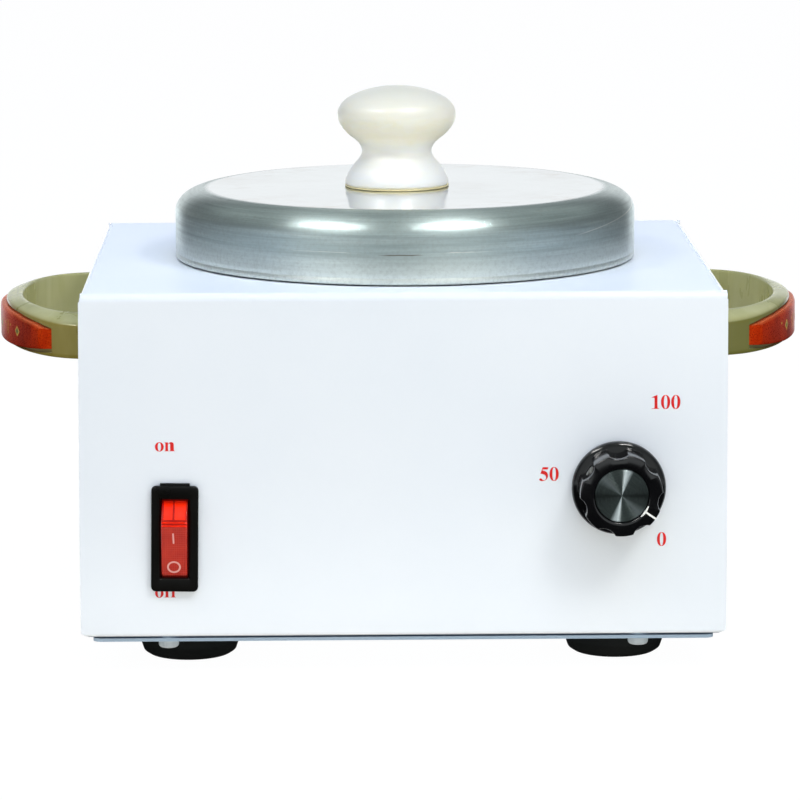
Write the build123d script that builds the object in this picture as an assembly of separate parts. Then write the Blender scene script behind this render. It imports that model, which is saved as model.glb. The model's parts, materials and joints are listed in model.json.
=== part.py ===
from build123d import *
import math
import os

# Single-pot wax warmer: a folded steel casing on rubber feet, with a heated
# well, a lift-out aluminium pot and lid, a rocker switch and a heat regulator.
# Millimetres. +Z up, +X to the right seen from the front, front faces -Y.
# z = 0 is the surface the feet stand on. All pieces are drawn about the
# casing's own centre line and moved together by Y_SHIFT when written, so that
# the origin sits under the middle of the whole object.

os.makedirs("parts", exist_ok=True)

# ---------------------------------------------------------------- dimensions
W, D, H = 190.0, 168.0, 102.0        # cover outside: width, depth, height
T = 0.9                              # cover sheet
R_BEND = 2.3                         # outside bend radius of the top edges
FLANGE = 13.0                        # inward return flange at the bottom
FOOT_H = 9.3
PLATE_T = 1.0
DIMPLE_H = 1.0                       # pressed spacing dimples at the plate screws
Z_PLATE = FOOT_H                     # underside of the bottom plate
Z0 = FOOT_H + PLATE_T + DIMPLE_H     # cover's bottom edge
Z_TOP = Z0 + H                       # cover's top face
PLATE_W, PLATE_D = 183.4, 161.4
PLATE_SCREW_X, PLATE_SCREW_Y = 69.5, 77.0
FOOT_X, FOOT_Y = 64.0, 53.0
FOOT_R_TOP, FOOT_R_BOT = 14.8, 13.9

TOP_HOLE_R = 65.7                    # opening in the cover's top
WELL_R_IN, WELL_T = 64.5, 0.8
WELL_FLANGE_R = 67.0
WELL_FLOOR = 21.0                    # inside floor of the heated well
POT_R, POT_T = 63.9, 1.2
POT_RIM_R = 65.4
LID_R, LID_T = 71.0, 1.2
LID_X, LID_Y = 2.2, -1.2             # the lid has slack on the rim and sits off centre
LID_RIM_Z = Z_TOP + 0.9
LID_TOP_Z = LID_RIM_Z + 20.8
LID_EDGE_R = 7.0
RIM_Z = LID_TOP_Z - LID_T - 1.05       # top of the pot's rolled rim, just under the lid
LK_X, LK_Y = -0.3, -1.2              # lid knob axis

KX, KZ = 63.0, Z0 + 44.3             # control knob axis
KNOB_FLANGE_R, KNOB_R = 13.65, 11.5
KNOB_FACE = 14.8                     # knob face in front of the panel
KNOB_GAP = 0.6
FLUTES = 7
POINTER_DEG = -34.5                  # pointer's direction, from +X towards +Z

SX, SZ = -67.1, Z0 + 29.8            # rocker switch centre
BEZEL_W, BEZEL_H, BEZEL_T = 13.8, 30.8, 1.8
WIN_W, WIN_H = 8.3, 22.9
SW_BODY_W, SW_BODY_H, SW_BODY_D = 10.8, 28.0, 20.0
ROCKER_R = 12.77                     # drum radius about the hinge
ROCKER_HALF = 38.25                  # half angle of the printed face
ROCKER_TILT = 19.05                  # rest tilt, lower end pressed in
ROCKER_HINGE_BACK = 7.5              # hinge behind the bezel's front face

HANDLE_Z0 = Z0 + 77.8                # underside of the handles
HANDLE_TOP = Z0 + 91.8
H_IN_P, H_IN_B, H_IN_N = 21.1, 43.3, 2.06    # finger gap: reach, half span, squareness
H_OUT_P, H_OUT_B, H_OUT_N = 26.5, 51.1, 1.86
INLAY_PROUD, INLAY_DEEP = 1.7, 0.8
INLAY_END_Y = 46.0

IX, IZ = -58.0, Z0 + 33.0            # power inlet centre on the back panel
INLET_FLANGE_T = 3.0

# front: the knob's face; back: the inlet's flange
Y_FRONT = -(D / 2 + KNOB_FACE)
Y_BACK = D / 2 + INLET_FLANGE_T
Y_SHIFT = -(Y_FRONT + Y_BACK) / 2

FY = -D / 2                          # front panel's outer face
BY = D / 2                           # back panel's outer face


# ------------------------------------------------------------------- helpers
def vcyl(r, z0, z1, x=0.0, y=0.0):
    return Pos(x, y, (z0 + z1) / 2) * Cylinder(r, z1 - z0)


def ycyl(r, y0, y1, x, z):
    return Pos(x, (y0 + y1) / 2, z) * Rot(90, 0, 0) * Cylinder(r, y1 - y0)


def xcyl(r, x0, x1, y, z):
    return Pos((x0 + x1) / 2, y, z) * Rot(0, 90, 0) * Cylinder(r, x1 - x0)


def blk(x0, x1, y0, y1, z0, z1):
    return Pos((x0 + x1) / 2, (y0 + y1) / 2, (z0 + z1) / 2) * Box(
        x1 - x0, y1 - y0, z1 - z0
    )


def hexprism(af, length):
    return Pos(0, 0, -length / 2) * extrude(
        RegularPolygon(radius=af / 2, side_count=6, major_radius=False), length
    )


def vnut(af, bore, z0, z1, x, y):
    return Pos(x, y, (z0 + z1) / 2) * hexprism(af, z1 - z0) - vcyl(
        bore, z0 - 1, z1 + 1, x, y
    )


def turned(points, x=0.0, y=0.0, z=0.0):
    """Solid of revolution about the vertical through x, y from (r, z) points."""
    prof = make_face(Polyline(*[(r, 0, h) for r, h in points], close=True))
    return Pos(x, y, z) * revolve(prof, Axis.Z)


def save(name, *shapes):
    solids = []
    for s in shapes:
        solids += list(s.solids())
    moved = [s.moved(Location((0, Y_SHIFT, 0))) for s in solids]
    shape = moved[0] if len(moved) == 1 else Compound(moved)
    export_step(shape, f"parts/{name}.step")


# --------------------------------------------------------------------- cover
shell = Pos(0, 0, Z0 + H / 2) * Box(W, D, H)
shell = fillet(shell.edges().group_by(Axis.Z)[-1], R_BEND)
hollow = Pos(0, 0, (Z0 + T + Z_TOP - T) / 2) * Box(W - 2 * T, D - 2 * T, H - 2 * T)
hollow = fillet(hollow.edges().group_by(Axis.Z)[-1], R_BEND - T)
cover = shell - hollow
cover -= blk(-W / 2 + FLANGE, W / 2 - FLANGE, -D / 2 + FLANGE, D / 2 - FLANGE, Z0 - 1, Z0 + T + 1)
cover -= vcyl(TOP_HOLE_R, Z_TOP - T - 3, Z_TOP + 1)
# rocker switch cut-out
cover -= blk(SX - SW_BODY_W / 2 - 0.1, SX + SW_BODY_W / 2 + 0.1, FY - 1, FY + T + 1,
             SZ - SW_BODY_H / 2 - 0.1, SZ + SW_BODY_H / 2 + 0.1)
# regulator bushing hole
cover -= ycyl(3.6, FY - 1, FY + T + 1, KX, KZ)
# handle screw holes
HS_Y = 46.2
HS_Z = HANDLE_Z0 + 6.2
for sy in (-1, 1):
    for sx in (-1, 1):
        cover -= xcyl(1.6, sx * (W / 2 - T / 2) - 2, sx * (W / 2 - T / 2) + 2, sy * HS_Y, HS_Z)
# power inlet cut-out and its two screw holes
cover -= blk(IX - 13.8, IX + 13.8, BY - T - 1, BY + 1, IZ - 10.1, IZ + 10.1)
for sx in (-1, 1):
    cover -= ycyl(1.7, BY - T - 1, BY + 1, IX + sx * 20.0, IZ)
# plate screw holes in the return flanges
for sx in (-1, 1):
    for sy in (-1, 1):
        cover -= vcyl(1.7, Z0 - 1, Z0 + T + 1, sx * PLATE_SCREW_X, sy * PLATE_SCREW_Y)
save("cover", cover)

# -------------------------------------------------------------- bottom plate
plate = Pos(0, 0, Z_PLATE + PLATE_T / 2) * Box(PLATE_W, PLATE_D, PLATE_T)
plate = fillet(plate.edges().filter_by(Axis.Z), 2.5)
for sx in (-1, 1):
    for sy in (-1, 1):
        plate += vcyl(3.4, Z_PLATE + PLATE_T, Z_PLATE + PLATE_T + DIMPLE_H,
                      sx * PLATE_SCREW_X, sy * PLATE_SCREW_Y)
for sx in (-1, 1):
    for sy in (-1, 1):
        plate -= vcyl(1.7, Z_PLATE - 1, Z_PLATE + 4, sx * PLATE_SCREW_X, sy * PLATE_SCREW_Y)
        plate -= vcyl(2.15, Z_PLATE - 1, Z_PLATE + 4, sx * FOOT_X, sy * FOOT_Y)
# cooling slots under the regulator
for i in range(5):
    plate -= blk(38 + 6 * i, 41 + 6 * i, -22, 2, Z_PLATE - 1, Z_PLATE + 4)
# bracket and earth stud holes
BR_X = 52.0
for sx in (-1, 1):
    plate -= vcyl(1.7, Z_PLATE - 1, Z_PLATE + 4, sx * BR_X, 30.0)
    plate -= vcyl(1.7, Z_PLATE - 1, Z_PLATE + 4, sx * BR_X, 18.0)
EARTH_X, EARTH_Y = -75.0, 30.0
plate -= vcyl(2.15, Z_PLATE - 1, Z_PLATE + 4, EARTH_X, EARTH_Y)
save("bottom_plate", plate)

# ------------------------------------------------------ feet and their screws
feet, f_screws, f_washers, f_nuts = [], [], [], []
for sx in (-1, 1):
    for sy in (-1, 1):
        x, y = sx * FOOT_X, sy * FOOT_Y
        foot = turned([(2.2, 5.3), (2.2, FOOT_H), (FOOT_R_TOP, FOOT_H), (FOOT_R_TOP, FOOT_H - 1.2),
                       (FOOT_R_BOT, 1.6), (FOOT_R_BOT - 0.5, 0.5), (FOOT_R_BOT - 1.7, 0),
                       (5.4, 0), (5.0, 0.4), (5.0, 5.3)], x, y)
        feet.append(foot)
        washer = vcyl(4.6, 4.5, 5.3, x, y) - vcyl(2.2, 4, 6, x, y)
        f_washers.append(washer)
        head = vcyl(3.9, 1.9, 4.5, x, y)
        head = fillet(head.edges().group_by(Axis.Z)[0], 1.1)
        head -= blk(x - 0.5, x + 0.5, y - 2.4, y + 2.4, 1.0, 3.2)
        head -= blk(x - 2.4, x + 2.4, y - 0.5, y + 0.5, 1.0, 3.2)
        f_screws.append(head + vcyl(2.0, 4.4, 16.0, x, y))
        f_nuts.append(vnut(7.0, 2.03, Z_PLATE + PLATE_T, Z_PLATE + PLATE_T + 3.2, x, y))
save("rubber_feet", *feet)
save("foot_screws", *f_screws)
save("foot_washers", *f_washers)
save("foot_nuts", *f_nuts)

# --------------------------------------------------------------- plate screws
p_screws, p_nuts = [], []
for sx in (-1, 1):
    for sy in (-1, 1):
        x, y = sx * PLATE_SCREW_X, sy * PLATE_SCREW_Y
        head = vcyl(3.0, Z_PLATE - 2.4, Z_PLATE, x, y)
        head = fillet(head.edges().group_by(Axis.Z)[0], 1.0)
        head -= blk(x - 0.4, x + 0.4, y - 1.8, y + 1.8, Z_PLATE - 3, Z_PLATE - 1.2)
        head -= blk(x - 1.8, x + 1.8, y - 0.4, y + 0.4, Z_PLATE - 3, Z_PLATE - 1.2)
        p_screws.append(head + vcyl(1.5, Z_PLATE - 0.1, Z0 + T + 4.0, x, y))
        p_nuts.append(vnut(5.5, 1.53, Z0 + T, Z0 + T + 2.4, x, y))
save("plate_screws", *p_screws)
save("plate_nuts", *p_nuts)


# -------------------------------------------------------------------- handles
def half_oval(p, b, n, count=44):
    """Points of a half oval standing p out of the panel, 2b long along Y."""
    pts = []
    for i in range(count + 1):
        a = -math.pi / 2 + math.pi * i / count
        c, s = max(math.cos(a), 0.0), math.sin(a)
        pts.append((p * c ** (2 / n), math.copysign(b * abs(s) ** (2 / n), s)))
    return pts


def half_oval_face(p, b, n):
    """Flat face bounded by the panel line and the half oval, in the XY plane."""
    return make_face(Polyline(*half_oval(p, b, n), close=True))


def handle_parts():
    # chamfered underside, upright outer wall, top sloping down to the outside
    levels = [(HANDLE_Z0, 0.8, 0.8), (HANDLE_Z0 + 0.8, 0.0, 0.0),
              (HANDLE_TOP - 2.0, 0.0, 0.0), (HANDLE_TOP, 3.0, 5.2)]
    out = None
    for (za, pa, ba), (zb_, pb, bb) in zip(levels, levels[1:]):
        slab = loft([Pos(0, 0, za) * half_oval_face(H_OUT_P - pa, H_OUT_B - ba, H_OUT_N),
                     Pos(0, 0, zb_) * half_oval_face(H_OUT_P - pb, H_OUT_B - bb, H_OUT_N)], ruled=True)
        out = slab if out is None else out + slab
    gap = extrude(Pos(0, 0, HANDLE_Z0 - 2) * half_oval_face(H_IN_P, H_IN_B, H_IN_N),
                  HANDLE_TOP - HANDLE_Z0 + 4)
    body = out - gap
    # inlay strip let into the outer wall, tapering towards its ends
    band = extrude(Pos(0, 0, HANDLE_Z0 + 0.5) * half_oval_face(
        H_OUT_P + INLAY_PROUD, H_OUT_B + INLAY_PROUD, H_OUT_N), 13.0)
    core = extrude(Pos(0, 0, HANDLE_Z0 - 1) * half_oval_face(
        H_OUT_P - INLAY_DEEP, H_OUT_B - INLAY_DEEP, H_OUT_N), 16.0)
    band -= core
    e = INLAY_END_Y
    zt = [HANDLE_TOP - 5.5, HANDLE_TOP - 3.4, HANDLE_TOP - 2.5, HANDLE_TOP - 2.3]
    zb = [HANDLE_Z0 + 2.3, HANDLE_Z0 + 1.9, HANDLE_Z0 + 1.2, HANDLE_Z0 + 1.0]
    ys = [e, 38.0, 26.0, 12.0]
    outline = [(-y, z) for y, z in zip(ys, zt)] + [(y, z) for y, z in zip(ys[::-1], zt[::-1])]
    outline += [(y, z) for y, z in zip(ys, zb)] + [(-y, z) for y, z in zip(ys[::-1], zb[::-1])]
    win = make_face(Polyline(*[(0, y, z) for y, z in outline], close=True))
    win = extrude(win, 60, dir=(1, 0, 0))
    inlay = band & win
    body -= inlay
    return body, inlay


h_body, h_inlay = handle_parts()
h_body -= xcyl(1.33, -1, 7.5, HS_Y, HS_Z)
h_body -= xcyl(1.33, -1, 7.5, -HS_Y, HS_Z)
right_body = Pos(W / 2, 0, 0) * h_body
right_inlay = Pos(W / 2, 0, 0) * h_inlay
save("handle_right", right_body)
save("handle_inlay_right", right_inlay)
save("handle_left", mirror(right_body, Plane.YZ))
save("handle_inlay_left", mirror(right_inlay, Plane.YZ))

h_screws = []
for sx in (-1, 1):
    for sy in (-1, 1):
        xi = W / 2 - T
        head = xcyl(2.9, xi - 2.0, xi, sy * HS_Y, HS_Z)
        head -= blk(xi - 3, xi - 1.1, sy * HS_Y - 1.8, sy * HS_Y + 1.8, HS_Z - 0.4, HS_Z + 0.4)
        s = head + xcyl(1.3, xi - 0.1, xi + T + 7.0, sy * HS_Y, HS_Z)
        h_screws.append(s if sx > 0 else mirror(s, Plane.YZ))
save("handle_screws", *h_screws)

# ------------------------------------------------- heated well, band and jacket
WR = WELL_R_IN + WELL_T
well = turned([
    (0, WELL_FLOOR - WELL_T), (WR - 6, WELL_FLOOR - WELL_T), (WR - 2, WELL_FLOOR + 1.4),
    (WR, WELL_FLOOR + 6), (WR, Z_TOP), (WELL_FLANGE_R, Z_TOP), (WELL_FLANGE_R, Z_TOP + WELL_T),
    (WELL_R_IN, Z_TOP + WELL_T), (WELL_R_IN, WELL_FLOOR + 6.2), (WR - 2.9, WELL_FLOOR + 2.0),
    (WR - 6.3, WELL_FLOOR), (0, WELL_FLOOR)])
save("heating_well", well)

BAND_R0, BAND_R1 = WR + 0.05, WR + 2.6
band = vcyl(BAND_R1, 32, 62) - vcyl(BAND_R0, 31, 63)
band -= blk(-5, 5, BAND_R0 - 4, BAND_R1 + 4, 31, 63)
lugs = []
for sx in (-1, 1):
    lug = blk(min(sx * 5, sx * 7.2), max(sx * 5, sx * 7.2), BAND_R0 - 0.4, 79.5, 40, 54)
    lug -= vcyl(BAND_R0, 31, 63)
    band += lug
band -= xcyl(2.1, -9, 9, 75.2, 47)
save("heater_band", band)
bs = xcyl(3.4, 7.2, 9.9, 75.2, 47) - blk(8.9, 11, 72.8, 77.6, 46.5, 47.5)
bs += xcyl(2.0, -12.5, 7.3, 75.2, 47)
bn = Pos(-8.8, 75.2, 47) * Rot(0, 90, 0) * hexprism(7.0, 3.2) - xcyl(2.03, -11, -6, 75.2, 47)
save("band_screw", bs)
save("band_nut", bn)
# ceramic terminal block riveted on the band, two screw posts
term = blk(-80.5, -66.2, -7, 7, 42, 52) - vcyl(BAND_R1 + 0.02, 30, 64)
save("heater_terminal", term)

jacket = vcyl(BAND_R1 + 6.4, 30, 96) - vcyl(BAND_R1 + 0.15, 29, 97)
jacket -= blk(-13.5, 13.5, 60, 90, 29, 64)             # gap for the band's clamp
jacket -= blk(-90, -60, -9, 9, 40, 54)                 # gap for the terminal
save("insulation", jacket)

# bridge under the well, screwed to the bottom plate
BZ = Z_PLATE + PLATE_T
bridge = blk(-58, 58, 14, 34, BZ, BZ + 1.2)
bridge -= blk(-46, 46, 10, 40, BZ - 1, BZ + 5)
bridge += blk(-46, 46, 14, 34, WELL_FLOOR - WELL_T - 1.2, WELL_FLOOR - WELL_T)
for sx in (-1, 1):
    bridge += blk(min(sx * 46, sx * 47.2), max(sx * 46, sx * 47.2), 14, 34, BZ, WELL_FLOOR - WELL_T)
br_screws = []
for sx in (-1, 1):
    for y in (18.0, 30.0):
        bridge -= vcyl(1.7, BZ - 1, BZ + 3, sx * BR_X, y)
        s = vcyl(2.9, Z_PLATE - 1.8, Z_PLATE, sx * BR_X, y)
        s -= blk(sx * BR_X - 0.4, sx * BR_X + 0.4, y - 1.8, y + 1.8, Z_PLATE - 3, Z_PLATE - 1.0)
        s += vcyl(1.5, Z_PLATE - 0.1, BZ + 4.4, sx * BR_X, y)
        br_screws.append(s)
br_nuts = [vnut(5.5, 1.53, BZ + 1.2, BZ + 3.6, sx * BR_X, y) for sx in (-1, 1) for y in (18.0, 30.0)]
save("well_bridge", bridge)
save("bridge_screws", *br_screws)
save("bridge_nuts", *br_nuts)

# over-temperature cut-out held against the well's floor
cz = WELL_FLOOR - WELL_T
cut = vcyl(7.6, cz - 3.2, cz, 0, -26) + vcyl(6.2, cz - 8.4, cz - 3.2, 0, -26)
cut += blk(-12, 12, -29, -23, cz - 0.8, cz)
cut += blk(-6.0 - 3.4, -6.0, -29.1, -22.9, cz - 7.2, cz - 6.4)
cut += blk(6.0, 6.0 + 3.4, -29.1, -22.9, cz - 7.2, cz - 6.4)
save("thermal_cutout", cut)

# ------------------------------------------------------------------------ pot
pot = turned([
    (0, WELL_FLOOR), (POT_R - 9, WELL_FLOOR), (POT_R - 4.2, WELL_FLOOR + 1.6),
    (POT_R - 1.2, WELL_FLOOR + 4.8), (POT_R, WELL_FLOOR + 9.5),
    (POT_R, RIM_Z - 2.4), (POT_RIM_R, RIM_Z - 2.0), (POT_RIM_R, RIM_Z - 0.7),
    (POT_RIM_R - 0.7, RIM_Z), (POT_R - POT_T + 0.6, RIM_Z), (POT_R - POT_T, RIM_Z - 0.6),
    (POT_R - POT_T, WELL_FLOOR + 9.9), (POT_R - 2.2, WELL_FLOOR + 5.6),
    (POT_R - 5.0, WELL_FLOOR + 2.7), (POT_R - 9.3, WELL_FLOOR + POT_T), (0, WELL_FLOOR + POT_T)])
save("pot", pot)

# ------------------------------------------------------------------------ lid
lid = vcyl(LID_R, LID_RIM_Z, LID_TOP_Z, LID_X, LID_Y)
lid = fillet(lid.edges().group_by(Axis.Z)[-1], LID_EDGE_R)
lin = vcyl(LID_R - LID_T, LID_RIM_Z - 2, LID_TOP_Z - LID_T, LID_X, LID_Y)
lin = fillet(lin.edges().group_by(Axis.Z)[-1], LID_EDGE_R - LID_T)
lid -= lin
lid -= vcyl(2.2, LID_TOP_Z - 3, LID_TOP_Z + 1, LK_X, LK_Y)
save("lid", lid)

# knob of the lid: flattened head, waisted neck, spreading base
RING_T = 0.5
kb = LID_TOP_Z + RING_T
prof = [(16.05, 3.0), (14.9, 4.3), (13.4, 5.7), (12.1, 7.7), (11.35, 9.3), (11.05, 10.6),
        (11.25, 11.8), (11.9, 13.0), (13.1, 14.4), (14.6, 15.6), (15.9, 16.9), (16.8, 18.1),
        (17.5, 19.3), (18.0, 20.6), (18.25, 22.0), (18.2, 23.2), (17.8, 24.4), (17.1, 25.6),
        (15.9, 26.8), (14.2, 28.0), (11.8, 29.1), (8.6, 30.0), (4.4, 30.6), (0, 30.8)]
foot_ = Polyline((0, 0, 12.0), (2.05, 0, 12.0), (2.05, 0, 0), (15.3, 0, 0), (16.05, 0, 0.7), (16.05, 0, 3.0))
side = Spline(*[(r, 0, z) for r, z in prof], tangents=[(0, 0, 1), (-1, 0, 0)])
close = Line((0, 0, 30.8), (0, 0, 12.0))
lid_knob = Pos(LK_X, LK_Y, kb) * revolve(make_face([*foot_.edges(), side, close]), Axis.Z)
save("lid_knob", lid_knob)
ring = vcyl(16.2, LID_TOP_Z, LID_TOP_Z + RING_T, LK_X, LK_Y) - vcyl(2.2, LID_TOP_Z - 1, LID_TOP_Z + 2, LK_X, LK_Y)
save("lid_knob_ring", ring)
zi = LID_TOP_Z - LID_T
lk_washer = vcyl(5.0, zi - 0.8, zi, LK_X, LK_Y) - vcyl(2.2, zi - 2, zi + 1, LK_X, LK_Y)
save("lid_knob_washer", lk_washer)
lk_screw = vcyl(3.9, zi - 3.4, zi - 0.8, LK_X, LK_Y)
lk_screw = fillet(lk_screw.edges().group_by(Axis.Z)[0], 1.0)
lk_screw -= blk(LK_X - 0.5, LK_X + 0.5, LK_Y - 2.6, LK_Y + 2.6, zi - 4, zi - 2.3)
lk_screw += vcyl(2.0, zi - 0.9, kb + 10.5, LK_X, LK_Y)
save("lid_knob_screw", lk_screw)


# -------------------------------------------------------------- control knob
def knob_solid():
    """Knob drawn along +Z from the panel plane, pointer along +X."""
    z0, z1 = KNOB_GAP, KNOB_FACE
    k = turned([(0, z0), (KNOB_FLANGE_R - 0.3, z0), (KNOB_FLANGE_R, z0 + 0.3), (KNOB_FLANGE_R, z0 + 1.9),
                (KNOB_FLANGE_R - 1.3, z0 + 3.0), (KNOB_R + 0.5, z0 + 3.3), (KNOB_R + 0.15, z0 + 4.0),
                (KNOB_R, z1 - 0.5), (KNOB_R - 0.5, z1), (0, z1)])
    for i in range(FLUTES):
        a = math.radians(360.0 / FLUTES * (i + 0.5))
        k -= vcyl(3.5, z0 + 3.6, z1 + 1, (KNOB_R + 2.1) * math.cos(a), (KNOB_R + 2.1) * math.sin(a))
    k -= vcyl(7.85, z1 - 1.0, z1 + 1)                   # seat of the metal insert
    k -= vcyl(7.6, z0 - 1, z0 + 2.8)                    # clears the panel nut
    k -= vcyl(4.0, z0 - 1, z0 + 4.4)                    # clears the bushing
    k -= vcyl(3.04, z0 - 1, z1 - 3.2)                   # shaft bore
    k -= Pos(-8, 0, z0 + 7.4) * Rot(0, 90, 0) * Cylinder(1.55, 16)   # set screw hole
    return k


def on_panel(shape):
    """Turn a knob-frame shape to face the front and put it on the knob's axis."""
    return Pos(KX, FY, KZ) * Rot(90, 0, 0) * Rot(0, 0, POINTER_DEG) * shape


save("control_knob", on_panel(knob_solid()))
insert = vcyl(7.8, KNOB_FACE - 1.0, KNOB_FACE - 0.25)
insert = chamfer(insert.edges().group_by(Axis.Z)[-1], 0.2)
save("knob_insert", on_panel(insert))
gs = Pos(-7.1, 0, KNOB_GAP + 7.4) * Rot(0, 90, 0) * Cylinder(1.5, 8.0)
gs -= Pos(-10.8, 0, KNOB_GAP + 7.4) * Rot(0, 90, 0) * hexprism(1.5, 3.0)
save("knob_set_screw", on_panel(gs))
shaft = vcyl(3.0, -8.0, KNOB_FACE - 3.4)
save("regulator_shaft", on_panel(shaft))

# ------------------------------------------------- heat regulator and its board
PY = FY + T                                             # panel's inner face
pot_body = ycyl(12.0, PY, PY + 11.0, KX, KZ) + ycyl(3.5, FY - 4.2, PY + 0.1, KX, KZ)
pot_body -= ycyl(3.05, FY - 6, PY + 9.6, KX, KZ)
save("regulator_body", pot_body)
lugs_ = [blk(KX + d - 0.9, KX + d + 0.9, PY + 7.6, PY + 8.1, KZ - 17.0, KZ - (12.0 if d == 0 else 11.3))
         for d in (-5, 0, 5)]
save("regulator_lugs", *lugs_)
p_washer = ycyl(6.4, FY - 0.6, FY, KX, KZ) - ycyl(3.6, FY - 2, FY + 1, KX, KZ)
save("regulator_washer", p_washer)
p_nut = Pos(KX, FY - 1.6, KZ) * Rot(90, 0, 0) * hexprism(10.0, 2.0) - ycyl(3.55, FY - 4, FY + 1, KX, KZ)
save("regulator_nut", p_nut)
BRD_Y = PY + 11.0
board = blk(46, 88, BRD_Y, BRD_Y + 1.6, KZ - 20, KZ + 18)
save("regulator_board", board)
sink = blk(73, 86, BRD_Y + 1.6, BRD_Y + 18, KZ - 16, KZ - 14) + blk(73, 75, BRD_Y + 1.6, BRD_Y + 18, KZ - 16, KZ + 10)
sink += blk(84, 86, BRD_Y + 1.6, BRD_Y + 18, KZ - 16, KZ + 10)
save("heat_sink", sink)
save("triac", blk(79.4, 84.0, BRD_Y + 3, BRD_Y + 13, KZ - 11, KZ + 4))
cap = blk(62, 70, BRD_Y + 1.6, BRD_Y + 13, KZ - 4, KZ + 12)
cap = fillet(cap.edges().filter_by(Axis.Y), 1.2)
save("capacitor", cap)

# ---------------------------------------------------------------- rocker switch
bz0 = FY - BEZEL_T                                      # bezel's front face
bezel = blk(SX - BEZEL_W / 2, SX + BEZEL_W / 2, bz0, FY, SZ - BEZEL_H / 2, SZ + BEZEL_H / 2)
bezel = fillet(bezel.edges().filter_by(Axis.Y), 1.3)
bezel = fillet(bezel.faces().sort_by(Axis.Y)[0].edges(), 0.7)
housing = bezel + blk(SX - SW_BODY_W / 2, SX + SW_BODY_W / 2, FY - 0.1, FY + SW_BODY_D,
                      SZ - SW_BODY_H / 2, SZ + SW_BODY_H / 2)
housing -= blk(SX - WIN_W / 2, SX + WIN_W / 2, bz0 - 1, bz0 + 3, SZ - WIN_H / 2, SZ + WIN_H / 2)
housing -= blk(SX - WIN_W / 2, SX + WIN_W / 2, bz0 + 1.5, FY + SW_BODY_D - 1.5,
               SZ - 13.2, SZ + 13.2)
HGY = bz0 + ROCKER_HINGE_BACK
housing -= xcyl(1.25, SX - 5.0, SX + 5.0, HGY, SZ)
# snap lugs above and below, behind the panel
for sz in (-1, 1):
    z_a = SZ + sz * SW_BODY_H / 2
    lug = make_face(Polyline((SX - 3, FY + T + 0.1, z_a), (SX - 3, FY + T + 0.1, z_a + sz * 1.2),
                             (SX - 3, FY + 7.0, z_a), close=True))
    housing += extrude(lug, 6, dir=(1, 0, 0))
for z in (SZ - 8, SZ, SZ + 8):
    housing -= blk(SX - 2.5, SX + 2.5, FY + SW_BODY_D - 3, FY + SW_BODY_D + 1, z - 0.45, z + 0.45)
save("switch_housing", housing)

terms = [blk(SX - 2.4, SX + 2.4, FY + SW_BODY_D - 1.5, FY + SW_BODY_D + 7.5, z - 0.4, z + 0.4)
         for z in (SZ - 8, SZ, SZ + 8)]
terms = [t - vcyl(0.9, SZ - 12, SZ + 12, SX, FY + SW_BODY_D + 5.5) for t in terms]
save("switch_terminals", *terms)
lamp = xcyl(1.7, SX - 3.3, SX + 3.3, HGY + 6.2, SZ)
lamp = fillet(lamp.edges().filter_by(GeomType.CIRCLE), 0.8)
save("switch_lamp", lamp)


def drum(r, half, back, w):
    """Rocker section about its hinge: flat front chord, round ends, open back."""
    pts = [(r * math.cos(math.radians(half)), r * math.sin(math.radians(half)))]
    n = 14
    for i in range(1, n + 1):
        a = math.radians(half + (100 - half) * i / n)
        pts.append((r * math.cos(a), r * math.sin(a)))
    pts = pts[:-1] + [(-back, pts[-1][1])]
    low = [(u, -v) for u, v in reversed(pts)]
    ring_ = pts + low
    f = make_face(Polyline(*[(-w / 2, -u, v) for u, v in ring_], close=True))
    return extrude(f, w, dir=(1, 0, 0))


rk = drum(ROCKER_R, ROCKER_HALF, 2.2, 8.0)
rk -= Pos(0, 0.6, 0) * drum(ROCKER_R - 1.3, ROCKER_HALF, 4.0, 5.8)
rk += xcyl(1.2, 3.9, 4.9, 0, 0)
rk += xcyl(1.2, -4.9, -3.9, 0, 0)
rocker = Pos(SX, HGY, SZ) * Rot(ROCKER_TILT, 0, 0) * rk
save("switch_rocker", rocker)

# ------------------------------------------------------------------ power inlet
fl = blk(IX - 25, IX + 25, BY, BY + INLET_FLANGE_T, IZ - 11.4, IZ + 11.4)
fl = chamfer(fl.edges().filter_by(Axis.Y), 7.0)
fl = fillet(fl.faces().sort_by(Axis.Y)[-1].edges(), 0.5)
can = blk(IX - 13.6, IX + 13.6, BY - 20, BY + 0.1, IZ - 9.9, IZ + 9.9)
can = chamfer(can.edges().filter_by(Axis.Y).sort_by(Axis.Z)[-2:], 3.5)
inlet = fl + can
sock = blk(IX - 12.1, IX + 12.1, BY - 16.5, BY + 5, IZ - 8.2, IZ + 8.2)
sock = chamfer(sock.edges().filter_by(Axis.Y).sort_by(Axis.Z)[-2:], 4.0)
inlet -= sock
for sx in (-1, 1):
    inlet -= ycyl(1.7, BY - 1, BY + 5, IX + sx * 20, IZ)
    inlet -= Pos(IX + sx * 20, BY + INLET_FLANGE_T - 0.8, IZ) * Rot(90, 0, 0) * Cone(3.2, 1.6, 1.62)
pins = []
for dx, dz in ((-7, -2), (7, -2), (0, 2)):
    inlet -= blk(IX + dx - 1.0, IX + dx + 1.0, BY - 21, BY - 15, IZ + dz - 2, IZ + dz + 2)
    p = blk(IX + dx - 1.0, IX + dx + 1.0, BY - 20, BY - 3.5, IZ + dz - 2, IZ + dz + 2)
    p = chamfer(p.faces().sort_by(Axis.Y)[-1].edges(), 0.6)
    p += blk(IX + dx - 0.4, IX + dx + 0.4, BY - 26, BY - 20, IZ + dz - 2.4, IZ + dz + 2.4)
    pins.append(p)
save("power_inlet", inlet)
save("inlet_pins", *pins)
i_screws, i_nuts = [], []
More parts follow.
